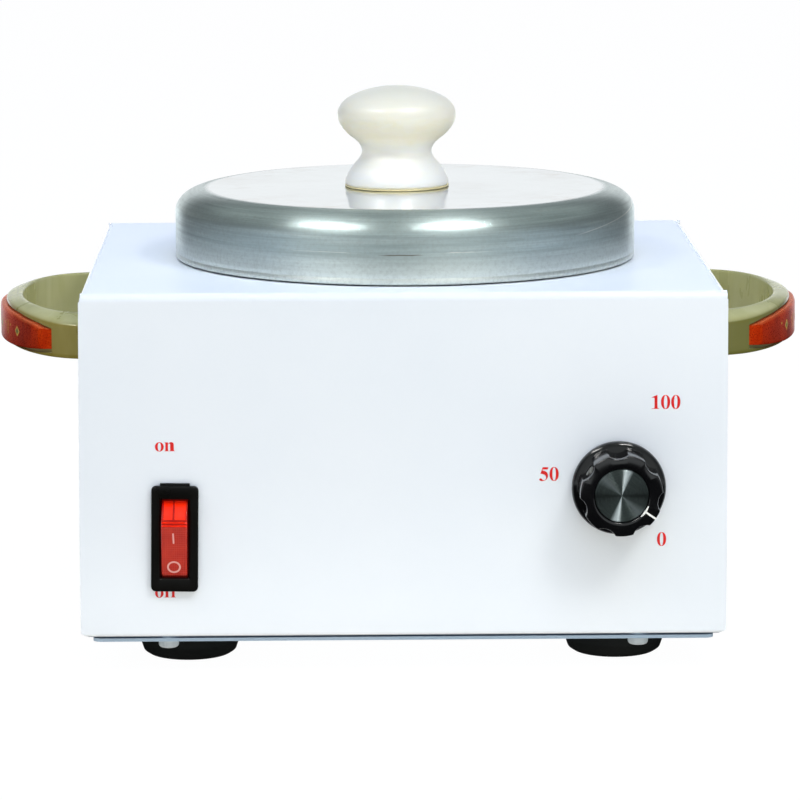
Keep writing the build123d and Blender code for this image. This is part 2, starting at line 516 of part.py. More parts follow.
for sx in (-1, 1):
    x = IX + sx * 20
    s = Pos(x, BY + INLET_FLANGE_T - 0.8, IZ) * Rot(90, 0, 0) * Cone(3.1, 1.5, 1.6)
    s -= blk(x - 2.4, x + 2.4, BY + INLET_FLANGE_T - 0.7, BY + 5, IZ - 0.4, IZ + 0.4)
    s += ycyl(1.5, BY - 7.5, BY + INLET_FLANGE_T - 1.5, x, IZ)
    i_screws.append(s)
    i_nuts.append(Pos(x, BY - T - 1.2, IZ) * Rot(90, 0, 0) * hexprism(5.5, 2.4) - ycyl(1.53, BY - 5, BY, x, IZ))
save("inlet_screws", *i_screws)
save("inlet_nuts", *i_nuts)

# earth stud on the bottom plate
es = vcyl(3.9, Z_PLATE - 2.4, Z_PLATE, EARTH_X, EARTH_Y) + vcyl(2.0, Z_PLATE - 0.1, Z_PLATE + 13, EARTH_X, EARTH_Y)
save("earth_screw", es)
save("earth_nut", vnut(7.0, 2.03, Z_PLATE + PLATE_T, Z_PLATE + PLATE_T + 3.2, EARTH_X, EARTH_Y))


# --------------------------------------------------------------- inner wiring
def wire(points, r=1.1):
    """Insulated lead along straight runs joined by tangent arcs."""
    pv = [Vector(*p) for p in points]
    radii = []
    for a, b, c in zip(pv, pv[1:], pv[2:]):
        turn = math.radians((b - a).get_angle(c - b))
        radii.append(0.45 * min((b - a).length, (c - b).length) / math.tan(turn / 2))
    path = FilletPolyline(*pv, radius=radii)
    start = path @ 0
    d = path % 0
    sec = Plane(origin=start, z_dir=d) * Circle(r)
    body = sweep(sec, path=path)
    print("wire radii", [round(v, 1) for v in radii], "length", round(path.length, 1),
          "volume ratio", round(body.volume / (math.pi * r * r * path.length), 4))
    return body


yp = BY - 26.0                                           # tips of the inlet's tabs
# live: inlet to the switch's lower tab, along the left side of the casing
live = wire([(IX - 7, yp, IZ - 2), (IX - 7, yp - 9, IZ - 2), (-79, yp - 17, 33), (-86.5, yp - 36, 26),
             (-87, -4, 23), (-84, -30, 25), (-75, -43, 31), (SX, -46.5, SZ - 8), (SX, FY + SW_BODY_D + 7.5, SZ - 8)])
save("wire_live", live)
# earth: inlet's middle tab down to the stud
earth = wire([(IX, yp, IZ + 2), (IX, yp - 8.5, IZ + 2), (IX - 6, yp - 11, IZ - 8), (-74, yp - 12, 26),
              (-79, 40, 19), (EARTH_X + 1, EARTH_Y + 3.4, 15.6)])
save("wire_earth", earth)
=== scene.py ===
import json
import math

import bmesh
import bpy
import numpy as np
from mathutils import Matrix, Vector


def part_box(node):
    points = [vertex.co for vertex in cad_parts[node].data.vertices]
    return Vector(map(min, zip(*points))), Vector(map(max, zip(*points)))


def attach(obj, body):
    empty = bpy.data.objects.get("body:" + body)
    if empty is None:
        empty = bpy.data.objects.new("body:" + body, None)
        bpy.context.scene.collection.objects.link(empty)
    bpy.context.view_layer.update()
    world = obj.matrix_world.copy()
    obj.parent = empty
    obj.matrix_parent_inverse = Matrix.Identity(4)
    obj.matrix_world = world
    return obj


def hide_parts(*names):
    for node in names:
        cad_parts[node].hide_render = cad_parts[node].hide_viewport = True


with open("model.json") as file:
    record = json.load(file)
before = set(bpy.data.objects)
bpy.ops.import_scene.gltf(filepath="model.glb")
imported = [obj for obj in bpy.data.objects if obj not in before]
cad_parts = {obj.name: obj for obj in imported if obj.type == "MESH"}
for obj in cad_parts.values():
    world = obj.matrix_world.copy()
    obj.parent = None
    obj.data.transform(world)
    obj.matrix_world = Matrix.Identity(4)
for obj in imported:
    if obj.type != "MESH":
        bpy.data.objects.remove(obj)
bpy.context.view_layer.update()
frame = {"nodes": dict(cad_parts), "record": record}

MM = 0.001
scene = bpy.context.scene
rng = np.random.RandomState(7)


# --------------------------------------------------------------- anchors, mm
def mmbox(node):
    a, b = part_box(node)
    return np.array(a) / MM, np.array(b) / MM


c0, c1 = mmbox("cover")
CX, CY = (c0[0] + c1[0]) / 2, (c0[1] + c1[1]) / 2
W, D = c1[0] - c0[0], c1[1] - c0[1]
ZB, ZT = c0[2], c1[2]                      # casing's bottom edge and top face
FYF, FYB = c0[1], c1[1]                    # front and back faces
l0, l1 = mmbox("lid")
LX, LY, LR = (l0[0] + l1[0]) / 2, (l0[1] + l1[1]) / 2, (l1[0] - l0[0]) / 2
LZ0, LZ1 = l0[2], l1[2]
r0, r1 = mmbox("lid_knob_ring")
QX, QY, QZ = (r0[0] + r1[0]) / 2, (r0[1] + r1[1]) / 2, r1[2]
k0, k1 = mmbox("control_knob")
n0, n1 = mmbox("knob_insert")
KX, KZ = (n0[0] + n1[0]) / 2, (n0[2] + n1[2]) / 2
KFACE = k0[1]                              # front of the control knob
s0, s1 = mmbox("switch_housing")
SX, SZ = (s0[0] + s1[0]) / 2, (s0[2] + s1[2]) / 2
BEZEL_Y = s0[1]                            # front of the switch's bezel
HGY = BEZEL_Y + 7.5                        # rocker's hinge
h0, h1 = mmbox("handle_right")
HZ0, HZ1 = h0[2], h1[2]
w0, w1 = mmbox("heating_well")
p0, p1 = mmbox("pot")
f0, f1 = mmbox("rubber_feet")
i0, i1 = mmbox("power_inlet")
POINTER = math.radians(-34.5)


# ------------------------------------------------------------- mesh building
def new_mesh(name, verts, faces, mat, body, replaces=(), slot=None, smooth=True,
             sharp=None, mats=None, face_mat=None, uvs=None, turn=None):
    """verts in millimetres in the row frame."""
    me = bpy.data.meshes.new(name)
    me.from_pydata([tuple(float(c) * MM for c in v) for v in verts], [], [tuple(f) for f in faces])
    me.validate(clean_customdata=False)
    ob = bpy.data.objects.new(name, me)
    scene.collection.objects.link(ob)
    for m in (mats or [mat]):
        me.materials.append(m)
    if face_mat is not None:
        me.polygons.foreach_set("material_index", [int(i) for i in face_mat])
    if smooth:
        me.shade_smooth()
        if sharp is not None:
            me.set_sharp_from_angle(angle=math.radians(sharp))
    if uvs is not None:
        lay = me.uv_layers.new(name="mm")
        idx = np.zeros(len(me.loops), int)
        me.loops.foreach_get("vertex_index", idx)
        lay.data.foreach_set("uv", np.array(uvs, float)[idx].ravel())
    if turn is not None:
        at = me.attributes.new("turn", "FLOAT_VECTOR", "POINT")
        at.data.foreach_set("vector", np.array(turn, np.float32).ravel())
    me.update()
    if body:
        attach(ob, body)
    if replaces:
        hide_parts(*replaces)
    return ob


def recalc(ob):
    bm = bmesh.new()
    bm.from_mesh(ob.data)
    bmesh.ops.recalc_face_normals(bm, faces=bm.faces)
    bm.to_mesh(ob.data)
    bm.free()
    return ob


def apply_mods(ob):
    dg = bpy.context.evaluated_depsgraph_get()
    dg.update()
    me = bpy.data.meshes.new_from_object(ob.evaluated_get(dg), preserve_all_data_layers=True, depsgraph=dg)
    old = ob.data
    ob.modifiers.clear()
    ob.data = me
    me.name = old.name + "_m"
    bpy.data.meshes.remove(old)
    return ob


def weighted(ob):
    m = ob.modifiers.new("wn", "WEIGHTED_NORMAL")
    m.keep_sharp = True
    m.weight = 80
    return ob


def edge_bevel(ob, width, segments=2, angle=35.0):
    m = ob.modifiers.new("bv", "BEVEL")
    m.width = width * MM
    m.segments = segments
    m.limit_method = "ANGLE"
    m.angle_limit = math.radians(angle)
    m.harden_normals = False
    m.use_clamp_overlap = True
    return ob


def round_poly(points, closed=False):
    """Points are (a, b) or (a, b, radius, steps): rounds the corners of a 2D line with arcs."""
    out = []
    n = len(points)
    for i, p in enumerate(points):
        if len(p) == 2 or p[2] <= 0 or (not closed and i in (0, n - 1)):
            out.append((p[0], p[1]))
            continue
        a = np.array(points[(i - 1) % n][:2], float)
        c = np.array(points[(i + 1) % n][:2], float)
        b = np.array(p[:2], float)
        u, v = (a - b), (c - b)
        lu, lv = np.linalg.norm(u), np.linalg.norm(v)
        u, v = u / lu, v / lv
        cosang = float(np.clip(u @ v, -1, 1))
        ang = math.acos(cosang)
        if ang > math.pi - 1e-3:
            out.append(tuple(b))
            continue
        t = min(p[2] / math.tan(ang / 2), 0.49 * lu, 0.49 * lv)
        r = t * math.tan(ang / 2)
        bis = (u + v) / np.linalg.norm(u + v)
        cen = b + bis * (r / math.sin(ang / 2))
        s, e = b + u * t - cen, b + v * t - cen
        a0, a1 = math.atan2(s[1], s[0]), math.atan2(e[1], e[0])
        da = (a1 - a0 + math.pi) % (2 * math.pi) - math.pi
        steps = int(p[3]) if len(p) > 3 else 5
        for k in range(steps + 1):
            q = a0 + da * k / steps
            out.append((cen[0] + r * math.cos(q), cen[1] + r * math.sin(q)))
    return out


def lathe_data(profile, n=192, cx=0.0, cy=0.0, wobble=None, k=6.0):
    """Closed (r, z) profile turned about the vertical through cx, cy. Points with r = 0 are poles.
    Starts at the back so the seam faces away. Returns verts, faces, turn coordinates."""
    verts, turn, rows = [], [], []
    s = 0.0
    last = None
    for (r, z) in profile:
        if last is not None:
            s += math.hypot(r - last[0], z - last[1])
        last = (r, z)
        if r < 1e-6:
            rows.append([len(verts)])
            verts.append((cx, cy, z))
            turn.append((0, 0, s))
        else:
            row = []
            for i in range(n):
                a = math.pi / 2 + 2 * math.pi * i / n
                rr, zz = (r, z) if wobble is None else wobble(r, z, a)
                row.append(len(verts))
                verts.append((cx + rr * math.cos(a), cy + rr * math.sin(a), zz))
                turn.append((k * math.cos(a), k * math.sin(a), s))
            rows.append(row)
    faces = []
    for p, q in zip(rows, rows[1:]):
        for i in range(n):
            j = (i + 1) % n
            if len(p) == 1 and len(q) == 1:
                continue
            if len(p) == 1:
                faces.append((p[0], q[i], q[j]))
            elif len(q) == 1:
                faces.append((p[i], q[0], p[j]))
            else:
                faces.append((p[i], q[i], q[j], p[j]))
    if len(rows[0]) > 1 and len(rows[-1]) > 1:
        p, q = rows[-1], rows[0]
        for i in range(n):
            j = (i + 1) % n
            faces.append((p[i], q[i], q[j], p[j]))
    return verts, faces, turn


def lathe(name, profile, mat, body, n=192, cx=0.0, cy=0.0, wobble=None, sharp=None, k=6.0, place=None, **kw):
    v, f, t = lathe_data(profile, n, cx, cy, wobble, k)
    if place is not None:
        v = [place(p) for p in v]
    ob = new_mesh(name, v, f, mat, body, turn=t, sharp=sharp, **kw)
    return recalc(ob)


def merge(parts):
    """Joins (verts, faces) lists into one."""
    V, F = [], []
    for v, f in parts:
        o = len(V)
        V += list(v)
        F += [tuple(i + o for i in q) for q in f]
    return V, F


def box_data(x0, x1, y0, y1, z0, z1):
    v = [(x, y, z) for z in (z0, z1) for y in (y0, y1) for x in (x0, x1)]
    f = [(0, 2, 3, 1), (4, 5, 7, 6), (0, 1, 5, 4), (2, 6, 7, 3), (0, 4, 6, 2), (1, 3, 7, 5)]
    return v, f


def loops_data(loops, cap_first=False, cap_last=False, closed=False):
    """Bridges closed loops of equal length."""
    n = len(loops[0])
    V = [p for lp in loops for p in lp]
    F = []
    m = len(loops)
    for a in range(m if closed else m - 1):
        b = (a + 1) % m
        for i in range(n):
            j = (i + 1) % n
            F.append((a * n + i, a * n + j, b * n + j, b * n + i))
    if cap_first:
        F.append(tuple(range(n - 1, -1, -1)))
    if cap_last:
        F.append(tuple((m - 1) * n + i for i in range(n)))
    return V, F


# ----------------------------------------------------------------- materials
class Nodes:
    def __init__(self, name):
        self.m = bpy.data.materials.new(name)
        self.m.use_nodes = True
        self.t = self.m.node_tree
        self.t.nodes.clear()
        self.out = self.t.nodes.new("ShaderNodeOutputMaterial")
        self.b = self.t.nodes.new("ShaderNodeBsdfPrincipled")
        self.t.links.new(self.b.outputs[0], self.out.inputs[0])

    def n(self, kind, **props):
        nd = self.t.nodes.new("ShaderNode" + kind)
        for k, v in props.items():
            setattr(nd, k, v)
        return nd

    def link(self, a, b):
        self.t.links.new(a, b)
        return self

    def put(self, node, values):
        for k, v in values.items():
            node.inputs[k].default_value = v
        return node

    def principled(self, **values):
        for k, v in values.items():
            self.b.inputs[k.replace("_", " ")].default_value = v
        return self

    def coord(self, scale=(1, 1, 1), source="Object", attribute=None, uv=None, loc=(0, 0, 0), rot=(0, 0, 0)):
        mp = self.n("Mapping")
        mp.inputs["Scale"].default_value = scale
        mp.inputs["Location"].default_value = loc
        mp.inputs["Rotation"].default_value = rot
        if attribute:
            at = self.n("Attribute", attribute_name=attribute)
            self.link(at.outputs["Vector"], mp.inputs["Vector"])
        elif uv:
            u = self.n("UVMap", uv_map=uv)
            self.link(u.outputs["UV"], mp.inputs["Vector"])
        else:
            tc = self.n("TexCoord")
            self.link(tc.outputs[source], mp.inputs["Vector"])
        return mp.outputs["Vector"]

    def noise(self, vec, scale=5.0, detail=4.0, rough=0.5, distortion=0.0, dims="3D"):
        nz = self.n("TexNoise", noise_dimensions=dims)
        self.put(nz, {"Scale": scale, "Detail": detail, "Roughness": rough, "Distortion": distortion})
        self.link(vec, nz.inputs["Vector"])
        return nz.outputs["Fac"]

    def ramp(self, fac, stops, mode="LINEAR"):
        r = self.n("ValToRGB")
        r.color_ramp.interpolation = mode
        el = r.color_ramp.elements
        while len(el) > 1:
            el.remove(el[-1])
        el[0].position = stops[0][0]
        el[0].color = stops[0][1] if len(stops[0][1]) == 4 else (*stops[0][1], 1)
        for p, c in stops[1:]:
            e = el.new(p)
            e.color = c if len(c) == 4 else (*c, 1)
        self.link(fac, r.inputs["Fac"])
        return r.outputs["Color"]

    def grey(self, fac, a, b, lo=0.0, hi=1.0):
        mr = self.n("MapRange")
        self.put(mr, {"From Min": lo, "From Max": hi, "To Min": a, "To Max": b})
        self.link(fac, mr.inputs["Value"])
        return mr.outputs["Result"]

    def mix(self, fac, a, b, blend="MIX"):
        mx = self.n("Mix", data_type="RGBA", blend_type=blend)
        if isinstance(fac, (int, float)):
            mx.inputs[0].default_value = fac
        else:
            self.link(fac, mx.inputs[0])
        for v, i in ((a, 6), (b, 7)):
            if isinstance(v, (tuple, list)):
                mx.inputs[i].default_value = v if len(v) == 4 else (*v, 1)
            else:
                self.link(v, mx.inputs[i])
        return mx.outputs[2]

    def math(self, op, a, b=None, c=None, clamp=False):
        md = self.n("Math", operation=op, use_clamp=clamp)
        for i, v in enumerate((a, b, c)):
            if v is None:
                continue
            if isinstance(v, (int, float)):
                md.inputs[i].default_value = v
            else:
                self.link(v, md.inputs[i])
        return md.outputs[0]

    def bump(self, height, strength=0.2, distance=0.0002, normal=None):
        bp = self.n("Bump")
        self.put(bp, {"Strength": strength, "Distance": distance})
        self.link(height, bp.inputs["Height"])
        if normal is not None:
            self.link(normal, bp.inputs["Normal"])
        return bp.outputs["Normal"]

    def sep(self, vec):
        s = self.n("SeparateXYZ")
        self.link(vec, s.inputs[0])
        return s.outputs

    def col(self, v):
        self.link(v, self.b.inputs["Base Color"])
        return self

    def rough(self, v):
        self.link(v, self.b.inputs["Roughness"])
        return self

    def normal(self, v):
        self.link(v, self.b.inputs["Normal"])
        return self


def srgb(r, g, b):
    def f(c):
        c /= 255.0
        return c / 12.92 if c <= 0.04045 else ((c + 0.055) / 1.055) ** 2.4
    return (f(r), f(g), f(b))


def powder(name, base, dark, rough=0.16, seam=None):
    """Gloss powder coat: faint orange peel and a little soiling. seam = (z, z, amount, amount), mm: painted shade, a
    dark band in the seam round the bottom plate.
    """
    m = Nodes(name)
    m.principled(Metallic=0.0, IOR=1.5, Specular_IOR_Level=0.34)
    ge = m.n("NewGeometry")
    up = m.sep(ge.outputs["Normal"])[2]                    # the top is handled and wiped dull, the upright faces keep their gloss
    m.link(m.grey(up, 0.34, 0.04, 0.72, 0.96), m.b.inputs["Specular IOR Level"])
    co = m.coord()
    peel = m.noise(co, 520, 2.5, 0.5)
    fine = m.noise(co, 2600, 2.0, 0.5)
    cloud = m.noise(co, 16, 4, 0.55)
    c = m.mix(m.grey(cloud, 0.0, 1.0, 0.32, 0.72), (*base, 1), (*dark, 1))
    # seam: painted shade, a dark navy band where the casing meets the bottom plate
    if seam:
        c = m.mix(m.grey(m.sep(co)[2], seam[2], seam[3], seam[0] * MM, seam[1] * MM), c, (*srgb(38, 64, 104), 1))
    m.col(c)
    m.rough(m.math("ADD", m.grey(cloud, rough, rough + 0.06, 0.3, 0.7), m.grey(up, 0.0, 0.14, 0.72, 0.96)))
    b1 = m.bump(peel, 0.12, 0.00012)
    m.normal(m.bump(fine, 0.05, 0.00003, b1))
    return m.m


# the cover's seam band is painted shade along its bottom bend
M_PAINT = powder("paint_cover", srgb(247, 251, 253), srgb(243, 248, 251), seam=(ZB + 0.10, ZB + 0.45, 0.9, 0.0))
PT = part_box("bottom_plate")[1][2] / MM   # top of the bottom plate
# the plate's paint is given darker and bluer than the cover's, painted shade under the casing's edge; its seam band
# darkens the top of its edge further, painted shadow
M_PLATE = powder("paint_plate", srgb(190, 212, 230), srgb(182, 206, 226), 0.26, seam=(PT - 1.0, PT - 0.2, 0.0, 0.55))


def metal_turned(name, light, dark, rough=(0.28, 0.42), lines=9.0, stain=None, scratches=True, fine=40.0, metallic=1.0, bump=0.25):
    """Turned or drawn aluminium: fine lines round the axis, clouds and stains."""
    m = Nodes(name)
    m.principled(Metallic=metallic)
    a = m.coord(scale=(0.10, 0.10, lines), attribute="turn")
    b = m.coord(scale=(0.25, 0.25, fine), attribute="turn")
    wide = m.noise(a, 1.0, 3.0, 0.6)
    hair = m.noise(b, 1.0, 2.0, 0.6)
    co = m.coord()
    cloud = m.noise(co, 55, 6, 0.62)
    c1 = m.ramp(wide, [(0.30, dark), (0.5, tuple((x + y) / 2 for x, y in zip(light, dark))), (0.72, light)])
    c2 = m.mix(m.grey(hair, 0.0, 0.30, 0.35, 0.75), c1, (*dark, 1))
    c3 = m.mix(m.grey(cloud, 0.0, 0.35, 0.42, 0.75), c2, (*(stain or dark), 1))
    m.col(c3)
    r = m.math("ADD", m.grey(hair, rough[0], rough[1], 0.3, 0.7), m.grey(cloud, -0.03, 0.08, 0.35, 0.7), clamp=True)
    m.rough(r)
    m.normal(m.bump(hair, bump, 0.00004, m.bump(wide, bump * 0.7, 0.0001)))
    return m.m


def plastic(name, base, alt, rough=0.25, peel=900.0, bump=0.05, coat=0.0, cloud_scale=60.0, sss=0.0, spec=0.5):
    m = Nodes(name)
    m.principled(IOR=1.5, Coat_Weight=coat, Coat_Roughness=0.05, Specular_IOR_Level=spec)
    if sss:
        m.principled(Subsurface_Weight=sss, Subsurface_Scale=0.002)
    co = m.coord()
    cloud = m.noise(co, cloud_scale, 4, 0.6)
    gr = m.noise(co, peel, 2, 0.5)
    m.col(m.mix(m.grey(cloud, 0, 1, 0.3, 0.7), (*base, 1), (*alt, 1)))
    m.rough(m.grey(cloud, rough, rough + 0.08, 0.3, 0.7))
    m.normal(m.bump(gr, bump, 0.0001))
    return m.m


M_RUBBER = plastic("black_rubber_mat", (0.006, 0.007, 0.0065), (0.010, 0.011, 0.010), 0.42, 1400, 0.25, spec=0.3)
M_BLACK = plastic("black_knob_mat", (0.002, 0.002, 0.0025), (0.004, 0.004, 0.0045), 0.08, 700, 0.02, 0.25, spec=0.36)
M_BEZEL = plastic("black_bezel_mat", (0.003, 0.003, 0.0025), (0.006, 0.0055, 0.005), 0.26, 2200, 0.15, spec=0.13)
M_PHENOL = plastic("black_phenolic_mat", (0.02, 0.017, 0.015), (0.035, 0.03, 0.026), 0.5, 1500, 0.2)
M_BOARD = plastic("board_mat", (0.02, 0.11, 0.04), (0.03, 0.15, 0.06), 0.4, 1800, 0.1)
M_FILM = plastic("film_cap_mat", (0.55, 0.33, 0.03), (0.6, 0.4, 0.06), 0.3)
M_CERAMIC = plastic("ceramic_mat", (0.75, 0.72, 0.64), (0.82, 0.8, 0.73), 0.55, 1200, 0.2)
M_WIRE_L = plastic("wire_brown_mat", (0.11, 0.045, 0.015), (0.14, 0.06, 0.02), 0.4)
M_WIRE_E = plastic("wire_green_mat", (0.12, 0.34, 0.02), (0.5, 0.48, 0.02), 0.4, cloud_scale=14)
M_WOOL = plastic("glass_wool_mat", (0.75, 0.68, 0.42), (0.85, 0.8, 0.58), 0.9, 700, 0.9)
M_LAMP = plastic("lamp_mat", (0.8, 0.35, 0.15), (0.9, 0.45, 0.2), 0.08)


def plated(name, light, dark, rough=0.28, grain=1500.0, metallic=1.0):
    m = Nodes(name)
    m.principled(Metallic=metallic)
    co = m.coord()
    a = m.noise(co, 260, 5, 0.6)
    g = m.noise(co, grain, 2, 0.5)
    m.col(m.mix(m.grey(a, 0, 1, 0.3, 0.7), (*light, 1), (*dark, 1)))
    m.rough(m.grey(a, rough, rough + 0.15, 0.3, 0.7))
    m.normal(m.bump(g, 0.08, 0.00004))
    return m.m


M_ZINC = plated("zinc_mat", (0.70, 0.70, 0.68), (0.52, 0.52, 0.50))
M_STEEL = plated("band_steel_mat", (0.55, 0.54, 0.52), (0.40, 0.39, 0.37), 0.35)
M_TIN = plated("tinned_mat", (0.78, 0.72, 0.55), (0.66, 0.6, 0.45), 0.3)
M_BRASS = plated("gold_trim_mat", (0.84, 0.76, 0.47), (0.74, 0.65, 0.36), 0.32, metallic=0.2)
M_PALE = plated("pale_zinc_mat", (0.74, 0.80, 0.82), (0.62, 0.68, 0.70), 0.3, metallic=0.25)
M_WELL = metal_turned("well_alu", (0.72, 0.73, 0.74), (0.52, 0.53, 0.54), (0.3, 0.45))
M_POT = metal_turned("pot_alu", (0.86, 0.87, 0.88), (0.72, 0.73, 0.74), (0.34, 0.48), metallic=0.8)


def alu_lid():
    """Dull drawn aluminium: brushed round the wall, a mirror-like clouded top, wear near the edge and a few scratches."""
    m = Nodes("lid_alu")
    m.principled(Metallic=1.0, Anisotropic=0.82, Anisotropic_Rotation=0.25)
    co = m.coord()
    a = m.coord(scale=(0.30, 0.30, 0.85), attribute="turn")
    b = m.coord(scale=(0.40, 0.40, 3.6), attribute="turn")
    h = m.coord(scale=(1.0, 1.0, 15.0), attribute="turn")
    wide = m.noise(a, 1.0, 4.0, 0.62)
    mid = m.noise(b, 1.0, 3.0, 0.6)
    hair = m.noise(h, 1.0, 2.0, 0.6)
    cloud = m.noise(co, 34, 6, 0.62)
    grain = m.noise(co, 900, 3, 0.7)
    turn = m.n("Attribute", attribute_name="turn")
    t = m.sep(turn.outputs["Vector"])
    s = t[2]                                               # way along the profile, mm
    wall = m.grey(s, 0.0, 1.0, LR - 11.6, LR - 9.6)         # 0 on the top, 1 on shoulder and wall
    wall_c = m.ramp(wide, [(0.28, (0.34, 0.41, 0.41)), (0.44, (0.44, 0.525, 0.525)), (0.60, (0.51, 0.60, 0.595)), (0.76, (0.61, 0.69, 0.67))])
    wall_c = m.mix(m.grey(mid, 0.0, 0.36, 0.42, 0.72), wall_c, (0.36, 0.42, 0.42, 1))
    low = m.grey(s, 0.0, 0.9, LR + 6.9, LR + 15.9)        # painted reflection of the white casing top: paler beige towards the rim
    wall_c = m.mix(low, wall_c, (0.76, 0.79, 0.745, 1))
    wall_c = m.mix(m.grey(grain, 0.0, 0.28, 0.45, 0.7), wall_c, (0.36, 0.38, 0.35, 1))
    # scratches: short pale and brown lines round the wall, one long slanting arc on the right
    ang = m.math("ARCTAN2", t[0], m.math("MULTIPLY", t[1], -1.0))          # 0 at the front, right positive
    scr = m.noise(m.coord(scale=(2.2, 2.2, 0.001), attribute="turn"), 1.0, 2.0, 0.5)
    lane = m.math("ADD", s, m.math("MULTIPLY", scr, 0.5))
    l1_ = m.grey(m.math("ABSOLUTE", m.math("SUBTRACT", lane, LR + 7.4)), 1.0, 0.0, 0.07, 0.18)
    near_mid = m.math("MAXIMUM", m.grey(m.math("ABSOLUTE", m.math("ADD", ang, -0.25)), 1.0, 0.0, 0.07, 0.11), m.grey(m.math("ABSOLUTE", m.math("ADD", ang, 0.36)), 0.5, 0.0, 0.10, 0.18))
    wall_c = m.mix(m.math("MULTIPLY", m.math("MULTIPLY", l1_, near_mid), m.grey(scr, 0.25, 0.85, 0.4, 0.6)), wall_c, (0.86, 0.86, 0.80, 1))
    l2_ = m.grey(m.math("ABSOLUTE", m.math("SUBTRACT", lane, LR + 8.0)), 1.0, 0.0, 0.10, 0.24)
    brown = m.grey(m.math("ABSOLUTE", m.math("ADD", ang, 0.035)), 1.0, 0.0, 0.05, 0.10)
    wall_c = m.mix(m.math("MULTIPLY", l2_, m.math("MULTIPLY", brown, 0.8)), wall_c, (0.15, 0.12, 0.085, 1))
    arc = m.math("ADD", s, m.math("MULTIPLY", ang, 7.5))
    l3_ = m.grey(m.math("ABSOLUTE", m.math("SUBTRACT", arc, LR + 10.6)), 1.0, 0.0, 0.09, 0.22)
    on_r = m.grey(ang, 0.0, 1.0, 0.78, 0.86)
    wall_c = m.mix(m.math("MULTIPLY", l3_, m.math("MULTIPLY", on_r, 0.7)), wall_c, (0.82, 0.84, 0.80, 1))
    top_c = m.ramp(cloud, [(0.30, (0.58, 0.585, 0.595)), (0.46, (0.65, 0.67, 0.685)), (0.62, (0.70, 0.72, 0.735)), (0.8, (0.62, 0.62, 0.62))])
    rim = m.grey(s, 0.0, 1.0, LR - 27.0, LR - 12.4)         # pinkish wear near the edge of the top
    spots = m.noise(co, 95, 5, 0.68)
    top_c = m.mix(m.math("MULTIPLY", rim, m.grey(spots, 0.0, 0.7, 0.5, 0.68)), top_c, (0.46, 0.405, 0.37, 1))
    m.col(m.mix(wall, top_c, wall_c))
    top_r = m.grey(cloud, 0.07, 0.15, 0.35, 0.7)
    wall_r = m.math("ADD", m.grey(hair, 0.33, 0.44, 0.3, 0.7), m.grey(grain, -0.03, 0.08, 0.4, 0.7))
    wall_r = m.math("ADD", wall_r, m.grey(s, -0.045, 0.0, LR - 0.5, LR + 3.5))   # the shoulder is rubbed smooth
    rr = m.n("Mix", data_type="FLOAT")
    m.link(wall, rr.inputs[0])
    m.link(top_r, rr.inputs[2])
    m.link(wall_r, rr.inputs[3])
    m.rough(rr.outputs[0])
    m.link(m.math("MULTIPLY", wall, 0.82), m.b.inputs["Anisotropic"])
    tg = m.n("Tangent", direction_type="RADIAL", axis="Z")
    m.link(tg.outputs[0], m.b.inputs["Tangent"])
    hb = m.mix(wall, (0.5, 0.5, 0.5, 1), hair)
    nb = m.bump(hb, 0.30, 0.00004)
    nb = m.bump(m.mix(wall, (0.5, 0.5, 0.5, 1), mid), 0.15, 0.0001, nb)
    nb = m.bump(grain, 0.10, 0.00004, nb)
    m.normal(m.bump(cloud, 0.05, 0.0003, nb))
    return m.m


def pearl():
    """Marbled pearly plastic, softly glossy and a little translucent, with a faint painted glow."""
    m = Nodes("pearl_mat")
    m.principled(IOR=1.5, Coat_Weight=0.12, Coat_Roughness=0.2, Subsurface_Weight=0.4, Subsurface_Scale=0.006)
    m.b.inputs["Subsurface Radius"].default_value = (1.0, 0.88, 0.66)
    co = m.coord(scale=(1.0, 1.0, 2.6))
    warp = m.noise(co, 36, 3, 0.5, 1.4)
    swirl = m.noise(m.coord(scale=(1, 1, 4.5)), 52, 6, 0.62, 2.2)
    fine = m.noise(co, 220, 4, 0.6, 0.6)
    c = m.ramp(swirl, [(0.28, (0.91, 0.86, 0.66)), (0.44, (0.94, 0.905, 0.745)), (0.56, (0.93, 0.91, 0.785)), (0.72, (0.97, 0.95, 0.86))])
    c = m.mix(m.grey(warp, 0.0, 0.45, 0.45, 0.75), c, (0.90, 0.89, 0.80, 1))
    z = m.sep(m.coord())[2]
    gold = m.math("MULTIPLY", m.grey(z, 0.0, 1.0, (QZ + 13.2) * MM, (QZ + 15.6) * MM), m.grey(z, 1.0, 0.0, (QZ + 16.5) * MM, (QZ + 20.5) * MM))
    c = m.mix(m.math("MULTIPLY", gold, m.grey(swirl, 0.25, 0.8, 0.35, 0.62)), c, (0.93, 0.86, 0.68, 1))   # amber band under the head
    c = m.mix(m.grey(fine, 0.0, 0.25, 0.5, 0.75), c, (0.98, 0.97, 0.94, 1))
    c = m.mix(m.grey(z, 0.62, 0.0, (QZ + 11.5) * MM, (QZ + 15.0) * MM), c, (0.97, 0.965, 0.915, 1))   # painted highlight: whiter neck and foot
    ge = m.n("NewGeometry")
    crown_shade = m.math("MULTIPLY", m.grey(m.sep(ge.outputs["Normal"])[2], 0.42, 0.85, 0.0, 0.9), m.grey(z, 0.0, 1.0, (QZ + 20.0) * MM, (QZ + 22.5) * MM))
    c = m.mix(crown_shade, c, (0.75, 0.715, 0.585, 1))             # painted shade: the up-facing crown darker and duller
    m.col(c)
    # painted light: the plastic glows faintly in its own colour by emission
    m.link(c, m.b.inputs["Emission Color"])
    m.b.inputs["Emission Strength"].default_value = 0.06
    m.rough(m.grey(swirl, 0.30, 0.40, 0.3, 0.7))
    m.normal(m.bump(swirl, 0.06, 0.0004, m.bump(fine, 0.05, 0.0001)))
    return m.m


